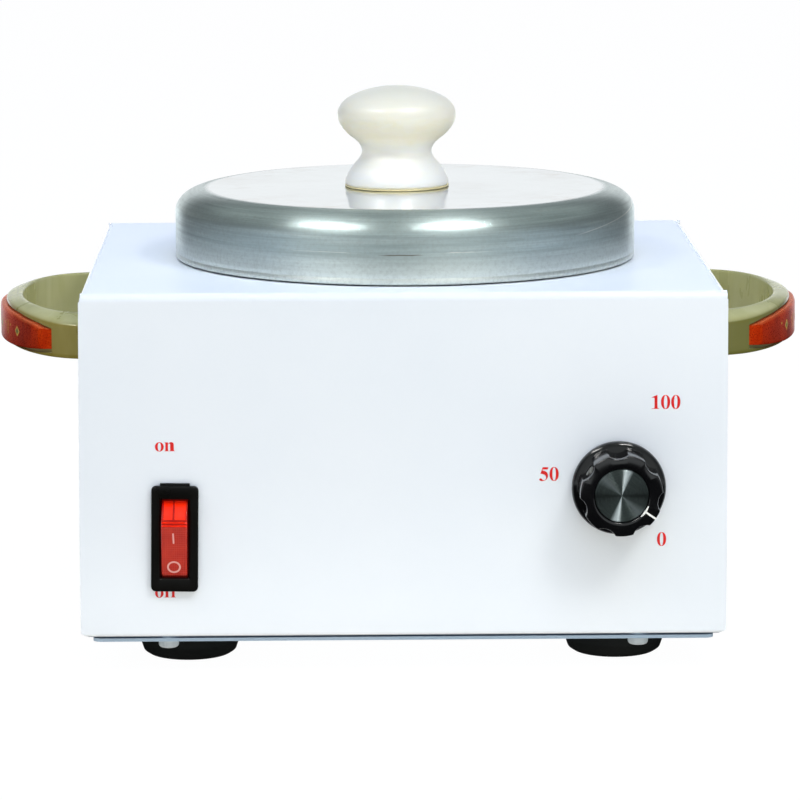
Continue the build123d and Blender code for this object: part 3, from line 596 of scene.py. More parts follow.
def olive():
    """Olive moulding: paler and duller on top, painted light from above, saturated on its steep sides."""
    m = Nodes("olive_mat")
    m.principled(IOR=1.5, Metallic=0.05, Coat_Weight=0.22, Coat_Roughness=0.12, Specular_IOR_Level=0.4)
    co = m.coord()
    flow = m.noise(m.coord(scale=(1, 1, 0.25)), 60, 4, 0.6, 0.5)
    gr = m.noise(co, 700, 3, 0.6)
    side = m.ramp(flow, [(0.30, srgb(122, 110, 38)), (0.5, srgb(138, 124, 50)), (0.72, srgb(152, 138, 68))])
    top = m.ramp(flow, [(0.30, srgb(158, 155, 94)), (0.5, srgb(174, 171, 114)), (0.72, srgb(188, 185, 134))])
    ge = m.n("NewGeometry")
    up = m.grey(m.sep(ge.outputs["Normal"])[2], 0.0, 1.0, 0.35, 0.85)
    x, y, _ = m.sep(co)
    rx = m.math("DIVIDE", m.math("ADD", m.math("ABSOLUTE", x), -c1[0] * MM), 0.0215)
    ry = m.math("DIVIDE", m.math("ADD", y, -CY * MM), 0.0438)
    rho = m.math("ADD", m.math("MULTIPLY", rx, rx), m.math("MULTIPLY", ry, ry))
    lit_inner_wall = m.grey(rho, 1.0, 0.0, 0.99, 1.05)             # painted light: the loop's inner wall as pale as the top
    side = m.mix(m.grey(x, 0.0, 1.0, 0.05, 0.06), side, (*srgb(112, 110, 48), 1))   # the right-hand loop is browner and duller outside
    # painted light: up-facing faces and the loop's inner wall take the pale top colour, the rest the side colour
    m.col(m.mix(m.math("MAXIMUM", up, lit_inner_wall), side, top))
    m.rough(m.grey(flow, 0.22, 0.34, 0.3, 0.7))
    m.normal(m.bump(gr, 0.03, 0.0001))
    return m.m


def copper():
    """Metallic copper-red lacquer on the inlay strips."""
    m = Nodes("copper_mat")
    m.principled(Metallic=0.5, Coat_Weight=0.0, Specular_IOR_Level=0.04)
    co = m.coord()
    cl = m.noise(m.coord(scale=(1, 1, 0.5)), 85, 4, 0.6, 0.4)
    fl = m.noise(co, 2400, 2, 0.5)
    c = m.ramp(cl, [(0.30, srgb(150, 28, 4)), (0.48, srgb(190, 44, 6)), (0.68, srgb(216, 66, 14))])
    c = m.mix(m.grey(fl, 0.0, 0.3, 0.5, 0.8), c, (*srgb(232, 100, 34), 1))
    ge = m.n("NewGeometry")
    up = m.grey(m.sep(ge.outputs["Normal"])[2], 0.0, 0.65, 0.3, 0.8)
    m.col(m.mix(up, c, (*srgb(232, 120, 70), 1)))          # painted highlight: pale along the up-facing top bevel
    m.rough(m.grey(fl, 0.24, 0.38, 0.3, 0.7))
    m.normal(m.bump(fl, 0.08, 0.00004))
    return m.m


def red_rocker():
    """Translucent red rocker: two bright blocks and fine ridges on the curved end painted as highlights, a faint
    painted glow all over, a moulded grid under the flat face.
    """
    m = Nodes("rocker_mat")
    m.principled(IOR=1.49, Coat_Weight=0.10, Coat_Roughness=0.05, Specular_IOR_Level=0.25, Subsurface_Weight=0.2, Subsurface_Scale=0.0012)
    uv = m.coord(uv="mm")
    x, y, _ = m.sep(uv)
    gx = m.math("ABSOLUTE", m.math("SUBTRACT", m.math("FRACT", m.math("MULTIPLY", x, 1.55)), 0.5))
    gy = m.math("ABSOLUTE", m.math("SUBTRACT", m.math("FRACT", m.math("MULTIPLY", y, 1.35)), 0.5))
    line = m.math("MAXIMUM", m.grey(gx, 0.0, 1.0, 0.34, 0.46), m.grey(gy, 0.0, 1.0, 0.34, 0.46))
    flat = m.grey(y, 1.0, 0.0, 15.85, 16.15)               # 1 on the flat face
    cl = m.noise(m.coord(), 240, 4, 0.6)
    face = m.mix(m.grey(cl, 0.0, 1.0, 0.35, 0.7), (*srgb(194, 58, 44), 1), (*srgb(170, 44, 38), 1))
    face = m.mix(m.math("MULTIPLY", line, 0.38), face, (*srgb(210, 92, 80), 1))
    # painted highlight: two bright blocks on the curved end
    highlight_blocks = m.math("MAXIMUM", m.grey(m.math("ABSOLUTE", m.math("ADD", x, 1.86)), 1.0, 0.0, 1.22, 1.40),
                 m.grey(m.math("ABSOLUTE", m.math("ADD", x, -1.66)), 1.0, 0.0, 1.50, 1.68))
    highlight_blocks = m.math("MULTIPLY", highlight_blocks, m.math("MULTIPLY", m.grey(y, 0.0, 1.0, 18.2, 18.5), m.grey(y, 1.0, 0.0, 24.9, 25.2)))
    # painted highlight: bright lines on the two ridges
    ridge_highlights = m.math("MAXIMUM", m.grey(m.math("ABSOLUTE", m.math("ADD", y, -16.38)), 1.0, 0.0, 0.14, 0.30),
                 m.grey(m.math("ABSOLUTE", m.math("ADD", y, -17.36)), 1.0, 0.0, 0.14, 0.30))
    painted_highlight = m.math("MAXIMUM", highlight_blocks, m.math("MULTIPLY", ridge_highlights, 0.75))
    lit = m.mix(painted_highlight, (*srgb(168, 12, 5), 1), (*srgb(252, 38, 8), 1))
    lit = m.mix(m.grey(cl, 0.0, 0.3, 0.35, 0.7), lit, (*srgb(255, 62, 20), 1))
    m.col(m.mix(flat, lit, face))
    m.rough(m.grey(cl, 0.10, 0.18, 0.3, 0.7))
    # painted glow: the rocker emits light, brightest on the painted highlights
    painted_glow = m.mix(painted_highlight, (*srgb(120, 6, 3), 1), (*srgb(255, 46, 14), 1))
    m.link(m.mix(flat, painted_glow, (*srgb(120, 26, 20), 1)), m.b.inputs["Emission Color"])
    m.b.inputs["Emission Strength"].default_value = 0.22
    m.normal(m.bump(m.math("MULTIPLY", line, flat), 0.25, 0.0001))
    return m.m


def spun():
    """Spun aluminium disc: fine rings, dark anodised cast, two painted highlight fans."""
    m = Nodes("spun_mat")
    m.principled(Metallic=1.0, Anisotropic=1.0, Anisotropic_Rotation=0.25, Roughness=0.40)
    a = m.coord(scale=(0.35, 0.35, 16.0), attribute="turn")
    rings = m.noise(a, 1.0, 3.0, 0.65)
    spot = m.noise(m.coord(), 900, 3, 0.7)
    c = m.ramp(rings, [(0.3, (0.055, 0.070, 0.068)), (0.5, (0.085, 0.105, 0.102)), (0.7, (0.13, 0.155, 0.15))])
    c = m.mix(m.grey(spot, 0.0, 0.35, 0.55, 0.8), c, (0.15, 0.175, 0.175, 1))
    # painted highlights: two pale fans where the rings catch the lights, one strong and one weak, each on both sides of
    # the middle
    px, _, pz = m.sep(m.coord())
    an = m.math("ARCTAN2", m.math("SUBTRACT", pz, KZ * MM), m.math("SUBTRACT", px, KX * MM))
    painted_highlight_fans = None
    for deg, half, soft, amount in ((76.0, 9.0, 4.0, 1.0), (136.0, 9.0, 9.0, 0.30)):
        off = m.math("ABSOLUTE", m.math("SINE", m.math("SUBTRACT", an, math.radians(deg))))
        one = m.grey(off, amount, 0.0, math.sin(math.radians(max(half - soft, 0.5))), math.sin(math.radians(half + soft)))
        painted_highlight_fans = one if painted_highlight_fans is None else m.math("MAXIMUM", painted_highlight_fans, one)
    m.col(m.mix(painted_highlight_fans, c, (0.66, 0.74, 0.76, 1)))
    tg = m.n("Tangent", direction_type="RADIAL", axis="Y")
    m.link(tg.outputs[0], m.b.inputs["Tangent"])
    m.normal(m.bump(rings, 0.3, 0.00004))
    return m.m


def ink(name, colour, rough=0.4):
    m = Nodes(name)
    m.principled(IOR=1.45)
    co = m.coord()
    sp = m.noise(co, 1500, 3, 0.6)
    m.col(m.mix(m.grey(sp, 0.0, 0.35, 0.45, 0.8), (*colour, 1), tuple(min(1.0, c * 1.2 + 0.015) for c in colour) + (1,)))
    m.rough(m.grey(sp, rough, rough + 0.12, 0.3, 0.7))
    m.normal(m.bump(sp, 0.05, 0.00003))
    return m.m


M_LID = alu_lid()
M_PEARL = pearl()
M_OLIVE = olive()
M_COPPER = copper()
M_ROCKER = red_rocker()
M_SPUN = spun()
M_INK = ink("red_ink", srgb(230, 14, 8))
M_WHITE = ink("white_ink", srgb(246, 246, 238), 0.35)
M_MARK = ink("rocker_ink", srgb(236, 170, 160), 0.35)
M_GOLD_INK = ink("gold_ink", srgb(206, 158, 60), 0.3)
M_GREEN_INK = ink("olive_ink", srgb(104, 104, 40), 0.3)


# --------------------------------------------------------------------- cover
class Weld:
    def __init__(self):
        self.v, self.f, self.key = [], [], {}

    def p(self, x, y, z):
        k = (round(x, 4), round(y, 4), round(z, 4))
        if k not in self.key:
            self.key[k] = len(self.v)
            self.v.append((x, y, z))
        return self.key[k]

    def grid(self, rows):
        ids = [[self.p(*q) for q in r] for r in rows]
        for a, b in zip(ids, ids[1:]):
            for i in range(len(a) - 1):
                q = []
                for t in (a[i], a[i + 1], b[i + 1], b[i]):
                    if t not in q:
                        q.append(t)
                if len(q) > 2:
                    self.f.append(tuple(q))


def make_cover():
    T, R, RB, FL = 0.9, 2.3, 1.2, 13.0
    xl, xr = c0[0], c1[0]
    XL, XR = xl + 0.75, xr - 0.45         # side walls stand a little inside the front's edges

    def dr(z):
        return min(max((z - ZB - 30.0) / (ZT - ZB - 30.0), 0.0), 1.0)

    N, K = 28, 8
    wd = Weld()
    xs = np.linspace(XL + R, XR - R, N + 1)
    ys = np.linspace(FYF + R, FYB - R, N + 1)
    per = [(x, FYF + R) for x in xs[:-1]] + [(XR - R, y) for y in ys[:-1]]
    per += [(x, FYB - R) for x in xs[:0:-1]] + [(XL + R, y) for y in ys[:0:-1]]
    hole = w1[0] - (w0[0] + w1[0]) / 2 - 1.3
    circ = []
    for x, y in per:
        a = math.atan2(y - CY, x - CX)
        circ.append((CX + hole * math.cos(a), CY + hole * math.sin(a)))
    for i in range(len(per)):
        j = (i + 1) % len(per)
        wd.f.append((wd.p(*per[i], ZT), wd.p(*per[j], ZT), wd.p(*circ[j], ZT), wd.p(*circ[i], ZT)))
    # front and back: bend, wall, bottom bend, return flange
    for face, s in ((FYF, 1), (FYB, -1)):
        el, er = xl + 1.1, xr - 0.5       # ends of the bend
        rows = []
        for k in range(K + 1):
            q = math.pi / 2 * k / K
            rows.append([(x, face + s * (R - R * math.sin(q)), ZT - R + R * math.cos(q)) for x in [el, *xs, er]])
        rows.append([(x, face, ZT - R - 0.12) for x in [xl + 0.6, *xs, xr - 0.3]])
        for z in np.linspace(ZT - R - 0.12, ZB + RB, 14)[1:]:
            rows.append([(x, face, z) for x in [xl + 0.6 * dr(z), *xs, xr - 0.3 * dr(z)]])
        for k in range(1, 5):
            q = math.pi / 2 * k / 4
            e = 3.0 * k / 4
            rows.append([(x, face + s * (RB - RB * math.cos(q)), ZB + RB - RB * math.sin(q)) for x in [xl + e, *xs[1:-1], xr - e]])
            rows[-1].insert(1, (max(xs[0], xl + e + 0.3), rows[-1][0][1], rows[-1][0][2]))
            rows[-1].insert(-1, (min(xs[-1], xr - e - 0.3), rows[-1][0][1], rows[-1][0][2]))
        for d in (5.0, FL):
            rows.append([(x, face + s * d, ZB) for x in [xl + 3.0 + d, *[min(max(v, xl + 3.2 + d), xr - 3.2 - d) for v in xs], xr - 3.0 - d]])
        wd.grid(rows)
    # sides
    for face, s in ((XL, 1), (XR, -1)):
        rows = []
        for k in range(K + 1):
            q = math.pi / 2 * k / K
            rows.append([(face + s * (R - R * math.sin(q)), y, ZT - R + R * math.cos(q)) for y in ys])
        wd.grid(rows)
        ye = [FYF + T + 0.12, *ys, FYB - T - 0.12]
        rows = []
        for z in np.linspace(ZT - R, ZB + RB, 14):
            rows.append([(face, y, z) for y in ye])
        for k in range(1, 5):
            q = math.pi / 2 * k / 4
            e = 2.6 * k / 4
            rows.append([(face + s * (RB - RB * math.cos(q)), min(max(y, ye[0] + e), ye[-1] - e), ZB + RB - RB * math.sin(q)) for y in ye])
        for d in (5.0, FL):
            rows.append([(face + s * d, min(max(y, ye[0] + 2.6 + d), ye[-1] - 2.6 - d), ZB) for y in ye])
        wd.grid(rows)
    ob = new_mesh("cover_shell", wd.v, wd.f, M_PAINT, "casing", replaces=("cover",), slot="white_paint")
    recalc(ob)
    up = [p for p in ob.data.polygons if abs(p.normal.z) > 0.99 and p.center.z > (ZT - 0.01) * MM]
    if up and up[0].normal.z < 0:
        ob.data.flip_normals()
    so = ob.modifiers.new("so", "SOLIDIFY")
    so.thickness = T * MM
    so.offset = -1
    so.use_even_offset = True
    so.use_quality_normals = True
    apply_mods(ob)
    recalc(ob)
    # cut-outs
    parts = [box_data(SX - 5.5, SX + 5.5, FYF - 3, FYF + 3, SZ - 14.1, SZ + 14.1),
             box_data((i0[0] + i1[0]) / 2 - 13.8, (i0[0] + i1[0]) / 2 + 13.8, FYB - 3, FYB + 3,
                      (i0[2] + i1[2]) / 2 - 10.1, (i0[2] + i1[2]) / 2 + 10.1)]

    def rod(r, a, b, axis, u, v, n=20):
        loops = []
        for t in (a, b):
            lp = []
            for i in range(n):
                q = 2 * math.pi * i / n
                c, s_ = r * math.cos(q), r * math.sin(q)
                lp.append({"x": (t, u + c, v + s_), "y": (u + c, t, v + s_), "z": (u + c, v + s_, t)}[axis])
            loops.append(lp)
        return loops_data(loops, True, True)

    parts.append(rod(3.6, FYF - 3, FYF + 3, "y", KX, KZ, 32))
    hs0, hs1 = mmbox("handle_screws")
    hz = (hs0[2] + hs1[2]) / 2
    for sx in (-1, 1):
        for sy in (-1, 1):
            parts.append(rod(1.6, min(sx * 92, sx * 97), max(sx * 92, sx * 97), "x", CY + sy * 46.2, hz))
            parts.append(rod(1.7, ZB - 2, ZB + 2, "z", CX + sx * 69.5, CY + sy * 77.0))
    for sx in (-1, 1):
        parts.append(rod(1.7, FYB - 3, FYB + 3, "y", (i0[0] + i1[0]) / 2 + sx * 20, (i0[2] + i1[2]) / 2))
    v, f = merge(parts)
    cut = new_mesh("cutters", v, f, M_PAINT, None, smooth=False)
    recalc(cut)
    bo = ob.modifiers.new("bo", "BOOLEAN")
    bo.operation = "DIFFERENCE"
    bo.solver = "EXACT"
    bo.object = cut
    apply_mods(ob)
    bpy.data.objects.remove(cut)
    ob.data.shade_smooth()
    edge_bevel(ob, 0.13, 2, 50)
    apply_mods(ob)
    ob.data.shade_smooth()
    weighted(ob)
    return ob


cover = make_cover()

# ---------------------------------------------------------------- lathe work
# feet
foot_mid = [(sx * 64.0 + CX, CY + sy * 53.0) for sx in (-1, 1) for sy in (-1, 1)]
foot_prof = round_poly([(2.2, 5.3), (2.2, f1[2]), (14.8, f1[2], 0.4, 3), (14.8, f1[2] - 2.0, 0.3, 2), (14.75, f1[2] - 5.6, 1.4, 4),
                        (13.9, 1.1, 1.4, 5), (12.2, 0.0, 1.0, 4), (5.5, 0.0, 0.4, 3), (5.0, 0.6, 0.3, 2), (5.0, 5.3)])
parts, tt = [], []
for x, y in foot_mid:
    v, f, t = lathe_data(foot_prof, 72, x, y)
    parts.append((v, f))
    tt += t
v, f = merge(parts)
feet = recalc(new_mesh("feet", v, f, M_RUBBER, "casing", replaces=("rubber_feet",), slot="black_rubber", turn=tt, sharp=50))

# heated well and pot
WR, wz, wt = 65.3, w0[2] + 0.8, w1[2] - 0.8
well = lathe("well", round_poly([
    (0, wz - 0.8), (WR - 6, wz - 0.8, 3, 4), (WR - 2, wz + 1.4, 4, 4), (WR, wz + 6, 4, 4), (WR, wt, 0.3, 2), (67.0, wt, 0.3, 3),
    (67.0, wt + 0.8, 0.3, 3), (64.5, wt + 0.8, 0.7, 4), (64.5, wz + 6.2, 4, 4), (WR - 2.9, wz + 2.0, 4, 4), (WR - 6.3, wz, 3, 4), (0, wz)]),
    M_WELL, "casing", 160, CX, CY, replaces=("heating_well",), slot="well_aluminium", sharp=60)
PR, pz, prz = 63.9, p0[2], p1[2]
pot = lathe("wax_pot", round_poly([
    (0, pz), (PR - 9, pz, 6, 5), (PR - 4.2, pz + 1.6, 5, 4), (PR - 1.2, pz + 4.8, 5, 4), (PR, pz + 9.5, 6, 4),
    (PR, prz - 2.4, 0.5, 3), (65.4, prz - 2.0, 0.6, 4), (65.4, prz - 0.5, 0.65, 4), (64.4, prz, 0.6, 4), (PR - 1.2, prz, 0.6, 4),
    (PR - 1.2, pz + 9.9, 6, 4), (PR - 2.2, pz + 5.6, 5, 4), (PR - 5.0, pz + 2.7, 5, 4), (PR - 9.3, pz + 1.2, 6, 5), (0, pz + 1.2)]),
    M_POT, "pot_body", 160, CX, CY, replaces=("pot",), slot="pot_aluminium", sharp=60)


# lid: straight wall, wide shoulder, nearly flat top
def lid_wobble(r, z, a):
    e = min(1.0, r / LR)
    dr = 0.05 * math.sin(2 * a + 0.6) + 0.03 * math.sin(3 * a - 1.1) + 0.015 * math.sin(9 * a)
    dz = -0.06 * math.sin(2 * a + 1.9) - 0.03 * math.sin(5 * a + 0.4)
    return r - (0.1 - dr) * e * (1 if r > LR - 8 else 0.3), z + (dz - 0.09) * e * max(0.0, (z - LZ0 - 12) / 9)


LT = 1.2
SH = 10.4                                 # the shoulder is a flattened quarter round, SH wide and 7 high
sh = [(LR - SH + SH * math.sin(q), LZ1 - 7 + 7 * math.cos(q)) for q in np.linspace(0, math.pi / 2, 23)]
shi = [(LR - SH + (SH - 1.2) * math.sin(q), LZ1 - 7 + 5.8 * math.cos(q)) for q in np.linspace(math.pi / 2, 0, 13)]
prof = [(2.2, LZ1 - LT), (2.2, LZ1 - 0.04), (8, LZ1 - 0.03), (20, LZ1 - 0.10), (34, LZ1 - 0.22), (46, LZ1 - 0.22), (54, LZ1 - 0.10), (58.5, LZ1 - 0.03)]
prof += sh
LB = LZ0 - 0.45                           # rim, close over the casing's top
prof += [(LR, z) for z in np.linspace(LZ1 - 9, LB + 3.4, 9)]
prof += [(LR - 0.04, LB + 2.4), (LR - 0.15, LB + 2.05), (LR - 0.15, LB + 1.8), (LR - 0.02, LB + 1.45), (LR, LB + 0.55), (LR - 0.15, LB + 0.2), (LR - 0.45, LB)]
prof += [(LR - LT + 0.3, LB), (LR - LT, LB + 0.4), (LR - LT, LZ1 - 10)]
prof += shi
prof += [(40, LZ1 - LT), (12, LZ1 - LT)]
lid = lathe("lid_shell", prof, M_LID, "lid_body", 288, LX, LY, wobble=lid_wobble, replaces=("lid",), slot="lid_aluminium", sharp=60)

ring = lathe("lid_knob_trim", round_poly([(2.2, LZ1 + 0.02), (2.2, QZ), (16.05, QZ, 0.15, 3), (16.05, LZ1 + 0.02, 0.12, 3)], True), M_BRASS, "lid_body", 128,
             QX, QY, replaces=("lid_knob_ring",), slot="brass_trim", sharp=40)


def smooth_profile(pts, per=5):
    """Catmull-Rom through (r, z) points."""
    P = [np.array(p, float) for p in pts]
    P = [2 * P[0] - P[1]] + P + [2 * P[-1] - P[-2]]
    out = []
    for i in range(1, len(P) - 2):
        for k in range(per):
            t = k / per
            a, b, c, d = P[i - 1], P[i], P[i + 1], P[i + 2]
            q = 0.5 * (2 * b + (c - a) * t + (2 * a - 5 * b + 4 * c - d) * t * t + (3 * b - a - 3 * c + d) * t ** 3)
            out.append((max(float(q[0]), 0.0), float(q[1])))
    out.append(tuple(float(c) for c in P[-2]))
    return out


kp = [(15.95, 1.5), (15.45, 2.7), (14.85, 3.95), (14.15, 5.2), (13.1, 6.5), (11.95, 7.8), (11.15, 9.05), (10.85, 10.3), (11.05, 11.6),
      (11.75, 12.9), (13.15, 14.2), (14.85, 15.5), (16.05, 16.75), (16.9, 17.8), (17.5, 18.75), (17.98, 19.85), (18.25, 21.0), (18.28, 22.1),
      (18.02, 23.25), (17.4, 24.5), (16.35, 25.75), (14.8, 26.95), (12.35, 28.15), (9.1, 29.3), (4.6, 30.18), (0, 30.45)]
kprof = [(2.05, 12.0), (2.05, 0.0)] + round_poly([(2.05, 0.0), (15.5, 0.0, 0.4, 3), (15.98, 0.6, 0.4, 3), (15.95, 1.5)])[1:]
kprof += smooth_profile(kp, 4)[1:]
kprof = [(r, QZ + z) for r, z in kprof]
kprof[-1] = (0.0, kprof[-1][1])
kprof = [(0.0, QZ + 12.0)] + kprof
knob = lathe("lid_grip", kprof, M_PEARL, "lid_body", 128, QX, QY, replaces=("lid_knob",), slot="pearl_plastic", sharp=60)


# ------------------------------------------------------------------- handles
def handle_z(ay):
    """Bottom and top of the inlay above the handle's underside at |y| from the middle."""
    ys = [0.0, 30.0, 41.0, 46.4]
    return float(np.interp(ay, ys, [1.0, 1.1, 1.8, 2.4])), float(np.interp(ay, ys, [11.6, 10.8, 9.6, 8.3]))


H_END = math.asin((46.45 / 51.1) ** (1.86 / 2))


def make_handle(side, name, node):
    wall = c0[0] if side < 0 else c1[0]
    ts = set(np.linspace(-math.pi / 2, math.pi / 2, 141).tolist())
    for s_ in (-1, 1):
        ts |= {s_ * H_END, s_ * (H_END + 0.010)}
    ts = sorted(ts)
    hb = HZ0
    loops = []

    def row(t, push=0.0):
        c, s_ = max(math.cos(t), 0.0), math.sin(t)
        a3 = abs(s_) ** 3
        rd = HZ1 - 0.03 - 0.81 * a3
        dr = 0.74 + 2.03 * a3
        zb, zt = handle_z(51.1 * abs(s_) ** (2 / 1.86))
        zb, zt = hb + max(zb - 1.1, 0.5), hb + zt + 0.45
        d = 0.8 if abs(t) <= H_END + 1e-6 else 0.0
        sec = [(21.1, 43.3, 2.06, hb + 1.0), (21.1, 43.3, 2.06, hb + 6.5), (21.1, 43.3, 2.06, rd - 0.75),
               (21.22, 43.4, 2.05, rd - 0.38), (21.55, 43.72, 2.03, rd - 0.11), (22.15, 44.3, 2.0, rd),
               (23.1, 45.9, 1.96, rd - 0.06 - 0.12 * dr), (24.3, 48.5, 1.90, rd - 0.10 - 0.50 * dr), (25.2, 50.4, 1.85, rd - 0.12 - 0.80 * dr),
               (25.7, 51.05, 1.84, rd - 0.2 - dr), (26.05, 51.25, 1.85, rd - 0.5 - dr), (26.25, 51.3, 1.86, max(zt + 0.25, rd - 0.95 - dr)),
               (26.33, 51.3, 1.86, zt), (26.33 - d, 51.3 - d, 1.86, zt - 0.02),
               (26.33 - d, 51.3 - d, 1.86, zb + 0.02), (26.33, 51.3, 1.86, zb),
               (26.3, 51.25, 1.86, min(zb - 0.1, hb + 0.42)), (26.05, 51.05, 1.86, hb + 0.14), (25.5, 50.5, 1.87, hb),
               (22.2, 44.4, 2.0, hb), (21.5, 43.7, 2.04, hb + 0.12), (21.2, 43.4, 2.05, hb + 0.5)]
        out = []
        for P, B, N, z in sec:
            x = P * c ** (2 / N)
            y = math.copysign(B * abs(s_) ** (2 / N), s_)
            out.append((wall + side * (x - push), CY + y, z))
        return out

    loops.append(row(ts[0], 0.85 if side < 0 else 0.5))
    for t in ts:
        loops.append(row(t))
    loops.append(row(ts[-1], 0.85 if side < 0 else 0.5))
    v, f = loops_data(loops, True, True)
    ob = new_mesh(name, v, f, M_OLIVE, "casing", replaces=(node,), slot="olive_plastic", sharp=38)
    return recalc(ob)


def on_oval(side, y, off):
    """x of the handle's outer wall, off mm proud of it, at y from the middle."""
    P, B, N = 26.5 + off, 51.1 + off, 1.86
    wall = c0[0] if side < 0 else c1[0]
    return wall + side * P * (1 - min(abs(y) / B, 1.0) ** N) ** (1 / N)


def make_inlay(side, name, node):
    E = 46.05
    ys = [E * math.sin(u) for u in np.linspace(-math.pi / 2, math.pi / 2, 111)]
    ys = sorted([y for y in ys if abs(y) < E - 1.9] + [s_ * (E - q) for s_ in (-1, 1) for q in (0.0, 0.05, 0.12, 0.5, 1.0, 1.42, 1.55, 1.75)])
    loops = []
    for y in ys:
        zb, zt = handle_z(abs(y))
        zb, zt = HZ0 + zb, HZ0 + zt
        q = E - abs(y)
        cap = 1.65 if q >= 1.55 else (0.35 + 1.33 * (max(q - 0.05, 0) / 1.45) ** 0.9 if q > 0.01 else 0.25)
        sq = 0.0 if q > 0.13 else 0.12
        sec = [(-0.78, zb), (1.26, zb), (1.52, zb + 0.10), (1.63, zb + 0.30), (1.65, zb + 0.5), (1.65, (zb + zt) / 2), (1.65, zt - 1.35),
               (1.61, zt - 1.12), (1.42, zt - 0.62), (1.08, zt - 0.16), (0.85, zt - 0.02), (0.6, zt), (-0.78, zt)]
        lp = []
        for off, z in sec:
            o = min(off, cap)
            if off > 0:
                z = min(max(z, zb + sq), zt - sq)
            lp.append((on_oval(side, y, o), CY + y, z))
        loops.append(lp)
    v, f = loops_data(loops, True, True)
    ob = new_mesh(name, v, f, M_COPPER, "casing", replaces=(node,), slot="copper_red", sharp=42)
    return recalc(ob)


def make_motifs(side, name):
    """Small diamonds, upright strokes and dots inlaid along the strip."""
    parts, mats = [], []

    def patch(rows, mi, off):
        """rows of (y, z); raised sheet with a skirt sunk into the strip."""
        n = len(rows[0])
        V = [(on_oval(side, y, off), CY + y, z) for r in rows for y, z in r]
        F = []
        for a in range(len(rows) - 1):
            for b in range(n - 1):
                F.append((a * n + b, a * n + b + 1, (a + 1) * n + b + 1, (a + 1) * n + b))
        edge = [(0, b) for b in range(n - 1)] + [(a, n - 1) for a in range(len(rows) - 1)]
        edge += [(len(rows) - 1, b) for b in range(n - 1, 0, -1)] + [(a, 0) for a in range(len(rows) - 1, 0, -1)]
        base = len(V)
        for a, b in edge:
            y, z = rows[a][b]
            V.append((on_oval(side, y, 1.55), CY + y, z))
        m = len(edge)
        for i in range(m):
            j = (i + 1) % m
            ia, ja = edge[i][0] * n + edge[i][1], edge[j][0] * n + edge[j][1]
            F.append((ia, ja, base + j, base + i))
        F.append(tuple(base + i for i in range(m)))
        parts.append((V, F))
        mats.extend([mi] * len(F))

    def diamond(y, z, hw, hh, mi, off):
        rows = []
        for k in range(7):
            u = -1 + 2 * k / 6
            rows.append([(y + hw * (u + w_) / 2, z + hh * (u - w_) / 2) for w_ in np.linspace(-1, 1, 7)])
        patch(rows, mi, off)

    def stroke(y, z, hh, hw, mi=0):
        patch([[(y - hw, z - hh), (y + hw, z - hh)], [(y - hw * 0.6, z + hh), (y + hw * 0.6, z + hh)]], mi, 1.675)

    zm = HZ0 + 5.9
    ys = [-33.2, -14.5, 4.5, 23.5] if side < 0 else [-28.4, -9.5, 9.5, 28.4]
    for y in ys:
        w_ = 1.65 if abs(y) > 25 else 1.45
        diamond(y, zm, w_, 1.65, 0, 1.68)
        diamond(y, zm, w_ * 0.62, 1.65 * 0.62, 1, 1.695)
    between = [(a + b) / 2 for a, b in zip(ys, ys[1:])]
    for y in between:
        stroke(y - 0.9, zm + 0.2, 2.1, 0.13)
        stroke(y + 0.9, zm + 0.2, 2.1, 0.13)
    dots = ([ys[0] - 4.8] if side > 0 else []) + [b + 3.1 for b in between] + [b - 3.1 for b in between]
    for y in dots:
        diamond(y, zm + 1.1, 0.42, 0.42, 0, 1.68)
    v, f = merge(parts)
    ob = new_mesh(name, v, f, None, "casing", slot="copper_red", mats=[M_GOLD_INK, M_GREEN_INK], face_mat=mats, smooth=False)
    return recalc(ob)


make_handle(-1, "handle_l", "handle_left")
make_handle(1, "handle_r", "handle_right")
make_inlay(-1, "strip_l", "handle_inlay_left")
make_inlay(1, "strip_r", "handle_inlay_right")
make_motifs(-1, "strip_motifs_l")
make_motifs(1, "strip_motifs_r")


# -------------------------------------------------------------- control knob
def on_knob(r, a, z):
    return (KX + r * math.cos(a), FYF - z, KZ + r * math.sin(a))


def knob_flute(a):
    st = 2 * math.pi / 7
    d = (a - POINTER - st / 2 + st / 2) % st - st / 2
    s_ = 14.95 * math.sin(d)
    if abs(s_) >= 4.25:
        return 99.0
    return 14.95 * math.cos(d) - math.sqrt(4.25 ** 2 - s_ * s_)


